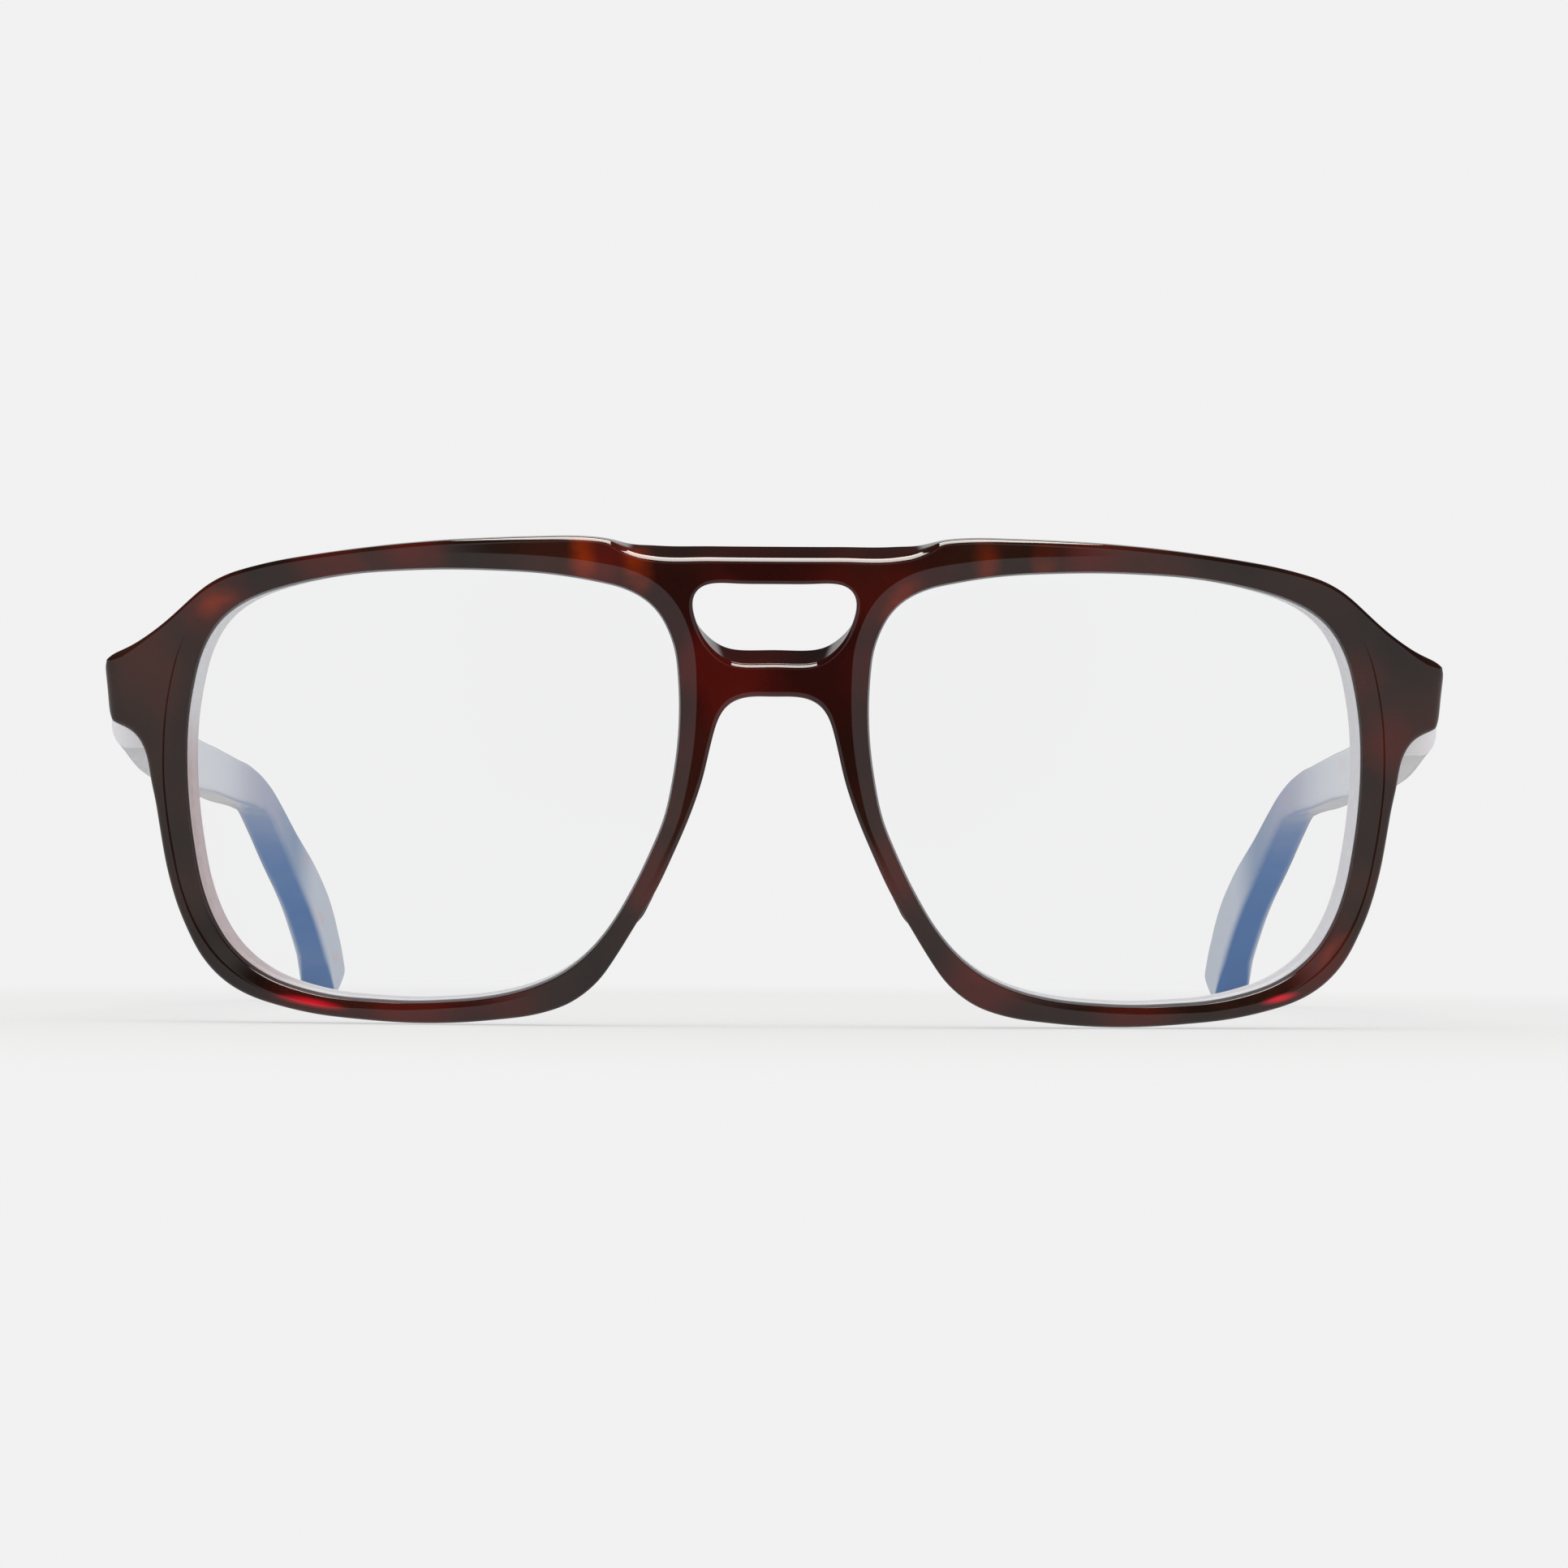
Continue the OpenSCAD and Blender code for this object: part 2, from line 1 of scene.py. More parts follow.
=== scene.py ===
# Double bridge glasses: a bowed tortoiseshell acetate front with two bridge bars, clear
# lenses and pale laminated temples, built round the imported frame.
# The pieces are drawn in the front's own frame, in millimetres: across to the wearer's
# left, back, and up, with the front upright. They are then leaned onto the table.
import json
import math

import bpy
import numpy as np
from mathutils import Matrix, Vector
from mathutils.geometry import delaunay_2d_cdt


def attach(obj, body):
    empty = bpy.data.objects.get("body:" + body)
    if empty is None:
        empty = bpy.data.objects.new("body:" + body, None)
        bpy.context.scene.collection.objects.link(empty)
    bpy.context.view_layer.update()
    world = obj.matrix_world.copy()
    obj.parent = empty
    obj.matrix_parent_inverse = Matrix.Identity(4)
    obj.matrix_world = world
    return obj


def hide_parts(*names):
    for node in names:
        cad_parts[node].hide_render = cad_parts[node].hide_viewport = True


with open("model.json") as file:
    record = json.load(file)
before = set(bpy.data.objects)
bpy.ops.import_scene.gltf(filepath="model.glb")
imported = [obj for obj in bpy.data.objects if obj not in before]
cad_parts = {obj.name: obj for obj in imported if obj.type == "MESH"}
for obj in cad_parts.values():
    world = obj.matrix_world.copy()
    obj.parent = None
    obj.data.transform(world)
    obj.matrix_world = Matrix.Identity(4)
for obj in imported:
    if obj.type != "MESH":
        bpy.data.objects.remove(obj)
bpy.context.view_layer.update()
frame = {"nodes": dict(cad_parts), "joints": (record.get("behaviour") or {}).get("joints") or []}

# Sizes in the front's own frame, in millimetres

# Front: the radius of its bow, its thickness, the slope and height of the top bar's upper
# face, the height of the window's middle and how the window widens backwards, and how far
# the walls of the lens openings lean in
FRONT_R = 300
FRONT_T = 5.5
BAR_SLOPE = math.tan(math.radians(15))
BAR_UP = 24.69
WINDOW_UP = 17.5
WINDOW_FLARE = 0.022
OPENING_LEAN = 0.8

# Lenses: an opening's middle and half width, the depths at which the lens is set and at
# which its face shows, its thickness and what the edge gains, and its groove
LENS_MID = (38.7, -0.9)
LENS_HALF = 28.25
LENS_SET = 1.7
LENS_FACE = 1.45
LENS_T = 2
LENS_SWELL = 1.5
TONGUE_T = 0.8
TONGUE_W = 0.7
LENS_FIT = 0.05

# Temples: where the inner face starts, the thickness of the lining and of both layers,
# half the height, the length, how far the tip comes in, the rounding of its end, and how
# far the outline runs on before the front end is cut
TEMPLE_X = 71
LINING_T = 3.2
TEMPLE_T = 4.85
TEMPLE_HALF_H = 4.3
TEMPLE_L = 118.6
TIP_IN = 7.5
TIP_ROUND = 1.7
BUTT_OVER = 3.5

# Hinges: the height of their middle, their barrels, screws and plates, and the core wires
HINGE_UP = 7.1
BARREL_R = 1.5
BARREL_H = 1.25
BARREL_GAP = 0.08
SCREW_R = 0.7
SCREW_FIT = 0.04
SCREW_HEAD_R = 1.15
SCREW_HEAD_H = 0.5
SCREW_SLOT = 0.3
PLATE_T = 0.9
FRONT_PLATE_W = 3
TEMPLE_PLATE_L = 13.5
PLATE_SHARE = 0.6
CORE_W = 1.4
CORE_T = 0.9
CORE_WALL = 0.15
CORE_HOLE = 0.3

# Gaps between the end piece, the temple and the hinge, the clearance of pockets, and how
# far cuts run past the faces that they cut
TEMPLE_GAP = 0.15
SWING_GAP = 0.35
POCKET_FIT = 0.03
OVERRUN = 1

# Places that follow: the end pieces are cut flat at the bow's depth behind the hinge axis
HINGE_X = TEMPLE_X - SWING_GAP - BARREL_R
END_BACK = round(FRONT_R - math.sqrt(FRONT_R ** 2 - HINGE_X ** 2 - HINGE_UP ** 2) + FRONT_T, 4)
TEMPLE_FRONT = END_BACK + TEMPLE_GAP
HINGE_BACK = TEMPLE_FRONT + BARREL_R
BARREL_PITCH = BARREL_H + BARREL_GAP
HINGE_H = BARREL_H + 4 * BARREL_PITCH
HINGE_LOW = HINGE_UP - HINGE_H / 2
CORE_IN = PLATE_T + CORE_WALL

# Rounded edges, the crease at the bevel's outer line, and the flat beside an edge that
# keeps its shading tight
FRONT_EDGE = 0.55
END_EDGE = 1.1
NOSE_EDGE = 0.42
REAR_EDGE = 0.7
OPENING_EDGE = 0.4
WINDOW_EDGE = 0.6
LINING_EDGE = 0.85
OUTER_EDGE = 1.5
STEEL_EDGE = 0.08
CREASE = 0.2
SUPPORT = 0.2

# Spacing of the points along an outline and of those inside a face, and shares of the
# second: between its rows, and clear of the outline
STEP = 0.4
FACE_STEP = 1.2
ROW_SHARE = 0.87
CLEAR_SHARE = 0.55
# Points on each millimetre of a drawn curve, and sides of a rod
CURVE_POINTS = 8
ROD_SIDES = 48

# Right half of the front's outline, from the top bar round to the nose arch
FRONT_HALF = [
    (0, 26.25), (7, 26.25), (13.9, 26.3), (16.6, 26.45), (18.2, 26.9), (21.5, 27.25),
    (26.6, 27.2), (31.8, 27), (36.5, 26.75), (41.3, 26.35), (47.6, 25.6), (52.3, 24.9),
    (56.7, 24.1), (59.5, 23.4), (61.9, 22.6), (64.1, 21.4), (66.4, 19.5), (68.4, 17.7),
    (70.7, 15.9), (73.1, 14.4), (75, 13.45), (75.6, 13.15), (75.93, 12.85), (76, 12.3),
    (75.95, 10.9), (75.8, 9), (75.5, 6.7), (75.38, 6.05), (75.1, 5.68), (74.6, 5.5),
    (73.6, 5.15), (72.6, 4.45), (71.6, 3.1), (71, 1.3), (70.7, -0.6), (70.2, -2.9),
    (69.8, -5.4), (68.8, -11.1), (67.6, -15.3), (66.6, -17.7), (65.2, -20.4),
    (63.4, -22.6), (61.5, -24.1), (59.3, -25.2), (56, -26.2), (52, -27), (46.7, -27.5),
    (40.6, -27.75), (36.5, -27.65), (31.4, -27.2), (26, -26.3), (23, -25.2),
    (20.8, -23.7), (19.3, -22.2), (17.7, -19.9), (15.5, -16.3), (13, -12), (11, -7.7),
    (10, -5.4), (8.9, -2.6), (7.9, 0.5), (7.1, 3.9), (6.5, 6.2), (6.05, 7.4), (5.3, 8.5),
    (4.2, 9.25), (2.8, 9.6), (0, 9.65),
]
# Left lens opening, from its own middle
LENS = [
    (-2.1, 24.55), (-6.8, 24.5), (-13.8, 24.1), (-18.4, 23.4), (-21.8, 22.6),
    (-23.9, 21.6), (-25.8, 19.9), (-27, 17.8), (-27.75, 15.6), (-28.1, 12.8),
    (-28.25, 9.5), (-28.1, 5.5), (-27.5, 1), (-26.6, -3.1), (-25, -7.1), (-22.7, -11.8),
    (-20.4, -15.6), (-17.8, -18.7), (-15, -20.9), (-11.4, -22.6), (-6.8, -23.8),
    (-2.1, -24.35), (2.7, -24.6), (6.7, -24.5), (11.3, -24.2), (14.9, -23.5),
    (18.5, -22.3), (20.9, -20.9), (23.3, -18.7), (25.2, -15.7), (26.6, -11.9),
    (27.5, -7.2), (28.1, -1.8), (28.25, 2.5), (27.95, 7.9), (27.4, 11.1), (26.7, 13.9),
    (25.5, 16.6), (24.1, 18.5), (22.1, 20.1), (19.5, 21.4), (17.1, 22.2), (13.5, 23.1),
    (8.8, 23.9), (2.6, 24.4),
]
# Right half of the bridge window, from its own middle
WINDOW_HALF = [
    (0, 4.3), (3.5, 4.3), (6.7, 4.28), (8, 3.9), (8.6, 3.2), (8.85, 2.2), (8.7, 1),
    (8.4, 0), (8, -1), (7.4, -2), (6.7, -2.8), (6, -3.4), (4.9, -4.1), (3.6, -4.3),
    (0, -4.3),
]
# Right half of the step from the top bar up to the brow, up from the bar's front edge
STEP_HALF = [
    (0, 0), (7, 0), (13.6, 0.02), (15.4, 0.3), (17.2, 1), (18.4, 1.75), (19.6, 2.4),
    (21.4, 3),
]
# Bevel round a lens opening, by the turn from the temple side over the top, in degrees:
# its width, and how far it drops
BEVEL = [
    (0, 2.35, 1.2), (30, 2.2, 1.1), (60, 1.7, 0.75), (90, 1.6, 0.6), (115, 1.7, 0.6),
    (140, 2.1, 0.65), (165, 1.7, 0.6), (190, 1.35, 0.5), (215, 1, 0.4), (240, 0.9, 0.4),
    (270, 0.9, 0.45), (300, 1.15, 0.6), (330, 1.9, 1), (360, 2.35, 1.2),
]
# Spine of a temple: back and up from its front end, and share of the half height there
SPINE = [
    (-6, 1.7, 1), (0, 0, 1), (6.4, -2.2, 0.9), (13.4, -4.6, 0.82), (20.8, -6.6, 0.77),
    (28.4, -8.4, 0.74), (46.4, -11.2, 0.68), (64, -13.9, 0.66), (75, -15.5, 0.62),
    (82, -16.9, 0.55), (87.6, -18.6, 0.47), (93.4, -21.9, 0.51), (100.4, -26.9, 0.58),
    (107.2, -32.4, 0.67), (112.8, -38, 0.76), (116.6, -43.1, 0.73), (118.6, -46.8, 0.68),
]
# Bow of a temple in plan: share of its length, share of the tip's inset
BOW = [
    (-1, 0), (-0.04, 0), (0.09, 0), (0.13, 0.004), (0.2, 0.06), (0.3, 0.13), (0.45, 0.17),
    (0.58, 0.18), (0.68, 0.22), (0.76, 0.34), (0.84, 0.53), (0.92, 0.82), (1, 1.07),
    (1.06, 1.23), (1.14, 1.57),
]
# Rounding of a temple's outer edges, by the distance behind its front end
OUTER_ROUND = [(0, 2.5), (12, 2.1), (40, 1.7), (90, 1.3), (120, 1.3)]
# Ridge of a nose pad, from its upper end: up, across, half width, height behind the rim
PAD = [
    (7.9, 8, 0.35, 0.15), (7, 8, 0.85, 1), (4.6, 8.5, 1.25, 2.5), (1, 9.25, 1.3, 3.7),
    (-3, 10.3, 1.2, 4.3), (-7, 11.8, 1.15, 4.3), (-11, 13.7, 1.15, 3.7),
    (-14, 15, 1.2, 2.6), (-16.2, 16.1, 1, 1.2), (-17.4, 16.8, 0.4, 0.15),
]
# The greatest height of a pad, how far it is sunk into the rim, how it leans away from the
# nose and narrows as it rises, and how round its top is
PAD_H = max(height for *_, height in PAD)
PAD_SINK = 0.15
PAD_LEAN = 0.08
PAD_TAPER = 0.25
PAD_ROUND = 0.8

# The two sides: the sign of across, and the wearer's word for it
SIDES = ((1, "left"), (-1, "right"))

# The front's own frame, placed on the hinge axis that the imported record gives
MM = 0.001
hinge_axis = next(joint for joint in frame["joints"] if joint["name"] == "fold_left")
lean = math.atan2(-hinge_axis["axis"][1], hinge_axis["axis"][2])
TO_ROW = (
    Matrix.Translation(hinge_axis["pos_m"])
    @ Matrix.Rotation(lean, 4, "X")
    @ Matrix.Scale(MM, 4)
    @ Matrix.Translation((-HINGE_X, -HINGE_BACK, -HINGE_UP))
)

# Curves


def ramp(value, low, high):
    """0 up to low, 1 from high, and straight between them."""
    return np.clip((value - low) / (high - low), 0, 1)


def curve(points, closed):
    """A smooth curve through points; an open one keeps its two ends."""
    p = np.array(points, float)
    if not closed:
        p = np.vstack([2 * p[0] - p[1], p, 2 * p[-1] - p[-2]])
    count = len(p)
    gap = np.linalg.norm(np.roll(p, -1, 0) - p, axis=1)[:, None]
    slope = (np.roll(p, -1, 0) - p) / gap
    gap_in, slope_in = np.roll(gap, 1, 0), np.roll(slope, 1, 0)
    pull = (slope_in * gap + slope * gap_in) / (gap + gap_in)
    rows = []
    for i in range(count) if closed else range(1, count - 2):
        j = (i + 1) % count
        turns = max(2, round(float(gap[i, 0]) * CURVE_POINTS))
        t = (np.arange(turns) / turns)[:, None]
        s = 1 - t
        rows.append(
            p[i] * s * s * (1 + 2 * t) + pull[i] * gap[i] * t * s * s
            + p[j] * t * t * (1 + 2 * s) - pull[j] * gap[i] * t * t * s
        )
    if not closed:
        rows.append(p[-2:-1])
    return np.vstack(rows)


def even(points, closed):
    """The same curve with its points about a step apart."""
    path = np.vstack([points, points[:1]]) if closed else points
    run = np.append(0, np.cumsum(np.linalg.norm(np.diff(path, axis=0), axis=1)))
    at = np.linspace(0, run[-1], round(run[-1] / STEP) + 1)
    at = at[:-1] if closed else at
    return np.column_stack([np.interp(at, run, path[:, k]) for k in range(path.shape[1])])


def polished(loop, reach=1.2, most=0.08):
    """Takes the small wobbles out of a closed loop and leaves its corners."""
    wave = np.fft.fftfreq(len(loop), STEP)
    keep = 1 - (1 - np.exp(-2 * (math.pi * reach * wave) ** 2)) ** 3
    z = np.fft.ifft(np.fft.fft(loop[:, 0] + 1j * loop[:, 1]) * keep)
    move = np.column_stack([z.real, z.imag]) - loop
    size = np.linalg.norm(move, axis=1)[:, None]
    return loop + move * np.minimum(1, most / np.maximum(size, 1e-9))


def whole(half):
    """Both halves of an outline whose right half starts and ends on the middle line."""
    return half + [(-x, up) for x, up in half[-2:0:-1]]


def outline(points):
    """A closed outline, running anticlockwise as seen with across to the right."""
    loop = polished(even(curve(points, True), True))
    x, up = loop.T
    turn = x @ np.roll(up, -1) - up @ np.roll(x, -1)
    return loop if turn > 0 else loop[::-1]


def soft_min(a, b, blend):
    """The lesser of two heights, rounded over where they meet."""
    h = np.clip(0.5 + (b - a) / (2 * blend), 0, 1)
    return b * (1 - h) + a * h - blend * h * (1 - h)


def into_material(loop):
    """Unit normals of a loop that has the material on its left."""
    along = np.roll(loop, -1, 0) - np.roll(loop, 1, 0)
    along /= np.linalg.norm(along, axis=1)[:, None]
    return np.column_stack([-along[:, 1], along[:, 0]])


# Meshes of flat and bowed sheets: each outline gives rings of a flat place and a
# place in space, from the front face to the rear face


def inside(points, loops):
    """True for each point that lies inside an odd number of the loops."""
    odd = np.zeros(len(points), bool)
    px, py = points[:, :1], points[:, 1:]
    for loop in loops:
        x, y = loop.T
        x2, y2 = np.roll(x, -1), np.roll(y, -1)
        spans = (y > py) != (y2 > py)
        rise = np.where(y2 == y, 1, y2 - y)
        odd ^= (spans & (px < x + (py - y) * (x2 - x) / rise)).sum(1) % 2 == 1
    return odd


def fill(loops):
    """Points inside the loops, and triangles that join them and the loops."""
    rim = np.vstack(loops)
    low, high = rim.min(0), rim.max(0)
    rows = np.arange(low[1], high[1], FACE_STEP * ROW_SHARE)
    grid = np.array([
        (x, up) for k, up in enumerate(rows)
        for x in np.arange(low[0] + k % 2 * FACE_STEP / 2, high[0], FACE_STEP)
    ])
    grid = grid[inside(grid, loops)]
    near = np.array([np.min(np.hypot(*(rim - p).T)) for p in grid])
    grid = grid[near > FACE_STEP * CLEAR_SHARE]
    edges, start = [], 0
    for loop in loops:
        count = len(loop)
        edges += [(start + i, start + (i + 1) % count) for i in range(count)]
        start += count
    flat = [Vector(p) for p in np.vstack([rim, grid])]
    corners, _, faces, origin, _, _ = delaunay_2d_cdt(flat, edges, [], 0, 1e-6)
    middles = np.array([sum((corners[i] for i in f), Vector((0, 0))) / 3 for f in faces])
    keep = inside(middles, loops)
    return grid, [[origin[i][0] for i in f] for f, k in zip(faces, keep) if k]


def sheet(outlines, front_at, rear_at):
    """Points and faces of a sheet: the rings of each outline's profile, and the filled
    front and rear faces, whose points front_at and rear_at put in space."""
    points, faces, ends = [], [], ([], [])
    for rings in outlines:
        count, first = len(rings[0][0]), sum(map(len, points))
        points += [place for _, place in rings]
        for k in range(len(rings) - 1):
            a, b = first + k * count, first + (k + 1) * count
            faces += [(a + i, a + (i + 1) % count, b + (i + 1) % count, b + i)
                      for i in range(count)]
        ends[0].append((rings[0][0], first))
        ends[1].append((rings[-1][0], first + (len(rings) - 1) * count))
    for loops, place_at in zip(ends, (front_at, rear_at)):
        index = np.concatenate([first + np.arange(len(loop)) for loop, first in loops])
        grid, triangles = fill([loop for loop, _ in loops])
        index = np.append(index, sum(map(len, points)) + np.arange(len(grid)))
        points.append(place_at(grid))
        faces += [[int(index[i]) for i in t] for t in triangles]
    return np.vstack(points), faces


# Work on objects, still in millimetres and in the front's own frame


def choose(piece):
    bpy.ops.object.select_all(action="DESELECT")
    piece.select_set(True)
    bpy.context.view_layer.objects.active = piece


def edit(piece):
    """Opens a piece in edit mode with all of it selected."""
    choose(piece)
    bpy.ops.object.mode_set(mode="EDIT")
    bpy.ops.mesh.select_all(action="SELECT")


def close_edit():
    bpy.ops.object.mode_set(mode="OBJECT")


def modify(piece, kind, **settings):
    """Adds a modifier and applies it."""
    choose(piece)
    modifier = piece.modifiers.new(kind.title(), kind)
    for name, value in settings.items():
        setattr(modifier, name, value)
    bpy.ops.object.modifier_apply(modifier=modifier.name)
    return piece


def combine(piece, tool, operation):
    """Joins a tool to a piece or cuts it out of it, and removes the tool."""
    modify(piece, "BOOLEAN", object=tool, operation=operation, solver="EXACT")
    bpy.data.objects.remove(tool)
    return piece


def block(low, high):
    """A cube between two corners."""
    low, high = Vector(low), Vector(high)
    bpy.ops.mesh.primitive_cube_add(size=1, location=(low + high) / 2)
    piece = bpy.context.object
    piece.scale = [abs(c) for c in high - low]
    bpy.ops.object.transform_apply(location=True, rotation=True, scale=True)
    return piece


def rod(x, back, low, height, radius):
    """An upright cylinder."""
    bpy.ops.mesh.primitive_cylinder_add(
        vertices=ROD_SIDES, radius=radius, depth=height, location=(x, back, low + height / 2))
    piece = bpy.context.object
    bpy.ops.object.transform_apply(location=True, rotation=True, scale=True)
    return piece


def from_points(name, points, faces):
    """A mesh object whose normals point outward."""
    mesh = bpy.data.meshes.new(name)
    mesh.from_pydata(np.asarray(points).tolist(), [], [list(map(int, f)) for f in faces])
    piece = bpy.data.objects.new(name, mesh)
    bpy.context.scene.collection.objects.link(piece)
    edit(piece)
    bpy.ops.mesh.remove_doubles(threshold=1e-5)
    bpy.ops.mesh.normals_make_consistent(inside=False)
    close_edit()
    return piece


def prism(side_view, x_from, x_to):
    """A side view outline, as back and up, taken through from one width to another."""
    count = len(side_view)
    points = [(x, back, up) for x in (x_from, x_to) for back, up in side_view]
    faces = [list(range(count)), list(range(count, 2 * count))]
    faces += [(i, (i + 1) % count, (i + 1) % count + count, i + count) for i in range(count)]
    return from_points("prism", points, faces)


def hand_over(piece, name, body, slot, material, *nodes):
    """Leans a finished piece onto the table and says what it stands for."""
    piece.name = piece.data.name = name
    piece.data.transform(TO_ROW)
    piece.data.materials.clear()
    piece.data.materials.append(material)
    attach(piece, body)
    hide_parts(*nodes)
    return piece


def smooth(piece, angle=180):
    """Smooth shading that keeps the flat faces flat."""
    choose(piece)
    bpy.ops.object.shade_smooth_by_angle(angle=math.radians(angle))
    modify(piece, "WEIGHTED_NORMAL", keep_sharp=True, weight=60)
    return piece


# Material trees


class Link:
    """A socket of a node tree; sums on it add Math nodes."""

    def __init__(self, paint, socket):
        self.paint, self.socket = paint, socket

    def math(self, operation, *values):
        return self.paint.node("ShaderNodeMath", {"operation": operation},
                               dict(enumerate(values)))

    def __add__(self, other):
        return self.math("ADD", self, other)

    def __rsub__(self, other):
        return self.math("SUBTRACT", other, self)

    def __mul__(self, other):
        return self.math("MULTIPLY", self, other)

    __radd__ = __add__
    __rmul__ = __mul__

    def larger(self, other):
        return self.math("MAXIMUM", self, other)

    def size(self):
        return self.math("ABSOLUTE", self)

    def between(self, low, high):
        """0 at low and 1 at high, with a smooth step from one to the other."""
        return self.paint.node("ShaderNodeMapRange", {"interpolation_type": "SMOOTHSTEP"},
                               {"Value": self, "From Min": low, "From Max": high})


class Paint:
    """The node tree of one material or of the world."""

    def __init__(self, owner):
        owner.use_nodes = True
        self.owner, self.tree = owner, owner.node_tree
        self.tree.nodes.clear()

    def node(self, kind, settings=None, values=None, out=0):
        """A node with its settings and the values or links of its sockets."""
        made = self.tree.nodes.new(kind)
        for name, value in (settings or {}).items():
            setattr(made, name, value)
        for name, value in (values or {}).items():
            if isinstance(value, Link):
                self.tree.links.new(value.socket, made.inputs[name])
            else:
                made.inputs[name].default_value = value
        return Link(self, made.outputs[out])

    def place(self):
        return self.node("ShaderNodeTexCoord", out="Object")

    def parts(self, vector):
        split = self.node("ShaderNodeSeparateXYZ", values={0: vector})
        return [Link(self, split.socket.node.outputs[k]) for k in range(3)]

    def noise(self, vector, scale, detail=2, rough=0.5, out=0):
        return self.node("ShaderNodeTexNoise", values={
            "Vector": vector, "Scale": scale, "Detail": detail, "Roughness": rough}, out=out)

    def stretched(self, vector, turn, scale):
        return self.node("ShaderNodeMapping", values={
            "Vector": vector, "Rotation": turn, "Scale": scale})

    def mix(self, share, low, high):
        colours = [(*c, 1) if isinstance(c, tuple) else c for c in (low, high)]
        return self.node("ShaderNodeMix", {"data_type": "RGBA"},
                         {0: share, 6: colours[0], 7: colours[1]}, out=2)

    def vector(self, operation, *values):
        return self.node("ShaderNodeVectorMath", {"operation": operation},
                         dict(enumerate(values)), out=int(operation == "DISTANCE"))

    def wander(self, place, scale, reach):
        """A place moved about by noise, by up to about half of reach."""
        drift = self.noise(place, scale, 3, out=1)
        moved = self.vector("MULTIPLY_ADD", drift, (reach,) * 3, place)
        return self.vector("SUBTRACT", moved, (reach / 2,) * 3)

    def bump(self, height, distance):
        return self.node("ShaderNodeBump", values={"Height": height, "Distance": distance})

    def shader(self, kind, **values):
        return self.node("ShaderNode" + kind, values={
            name.replace("_", " "): value for name, value in values.items()})

    def surface(self, shader, kind="Material"):
        out = self.tree.nodes.new("ShaderNodeOutput" + kind)
        self.tree.links.new(shader.socket, out.inputs["Surface"])
        return self.owner


def paint(name):
    return Paint(bpy.data.materials.new(name))


# The tortoiseshell's colours: its near-black ground and the deep red of the bridge bars,
# each from dark to light, those of its clouds and patches, and a painted glow: bright red that
# stands in for light shining through the rims
GROUND_BROWN = ((0.014, 0.005, 0.003), (0.034, 0.011, 0.006))
BAR_RED = ((0.03, 0.0034, 0.0022), (0.085, 0.005, 0.0025))
CLOUD_RED = (0.13, 0.01, 0.006)
PATCH_AMBER = (0.28, 0.028, 0.002)
PAINTED_GLOW_RED = (0.85, 0.008, 0.025)
# Round red clouds: across, up, radius, strength
RED_CLOUDS = [
    (-50, 25, 4, 0.7), (-40.5, 25.4, 3.6, 0.9), (-20, 24, 3.4, 0.9), (-64, 20, 4.5, 0.6),
    (-40, -26, 5.5, 1), (-30, -25, 4, 0.6), (-52, -25, 5, 0.6), (23, -23, 5, 0.8),
    (35.5, 24.8, 4, 0.8), (66, 12.5, 3, 0.3), (69, 4.2, 3.4, 0.7), (62, -20, 4, 0.8),
    (40, -26.5, 4, 0.6), (14, -10, 4, 0.5), (-14, -11, 4, 0.5),
]
# Round clouds that turn the two bridge bars deep red
BAR_CLOUDS = [
    (-12, 14, 9, 0.8), (0, 22, 9, 1), (0, 13, 9, 1), (12, 14, 9, 0.8), (9, 4, 7, 0.25),
    (-9, 4, 7, 0.25), (-16, 24, 5, 0.6), (16, 24, 5, 0.6),
]
# Shares of its radius at which a cloud starts to fade and has faded
CLOUD_FADE_SHARES = (0.2, 1.5)
# Long patches: across, up, turn in degrees, half its length, half its width, strength
AMBER_PATCHES = [
    (-63, 19.3, -38, 3.4, 1.7, 0.8), (-21.4, 25.3, 90, 6, 2.3, 1), (-15.2, 24, 85, 5, 2, 0.9),
    (14, 20.4, -50, 4, 1.7, 0.8), (23.4, 24.8, 90, 5, 2.2, 0.5), (30.3, 24.2, 90, 5, 2, 0.4),
    (-62.6, -16.2, 62, 5, 0.9, 0.6), (63.6, -19.6, -58, 4, 0.9, 0.5),
]
# Painted glow: bright red colour low in each rim's outer corner, standing in for light that
# shines through the acetate there
PAINTED_GLOW_PATCHES = [(-52.3, -25.62, 10, 5, 0.65, 1), (57.6, -24.66, -15, 2.8, 0.6, 1)]
# How far a patch reaches before and behind the front's face
PATCH_DEEP = 5


def on_front(x, up):
    """The place in space of a point on the front's face."""
    back = FRONT_R - math.sqrt(FRONT_R ** 2 - x * x - up * up)
    return tuple(TO_ROW @ Vector((x, back, up)))


def clouds(p, place, spots):
    """How much of a point lies in the soft round clouds of a list."""
    start, end = CLOUD_FADE_SHARES
    total = 0
    for x, up, radius, strength in spots:
        near = p.vector("DISTANCE", place, on_front(x, up))
        fade = near.between(radius * MM * start, radius * MM * end)
        total = (1 - fade) * strength + total
    return total


def patches(p, place, spots):
    """How much of a point lies in the soft long patches of a list."""
    total = 0
    for x, up, turn, half_long, half_wide, strength in spots:
        own = p.node("ShaderNodeMapping", {"vector_type": "TEXTURE"}, {
            "Vector": place, "Location": on_front(x, up), "Rotation": (0, math.radians(turn), 0),
            "Scale": (half_long * MM, PATCH_DEEP * MM, half_wide * MM)})
        near = p.vector("DISTANCE", own, (0.0, 0.0, 0.0))
        total = (1 - near.between(0, 1)) * strength + total
    return total


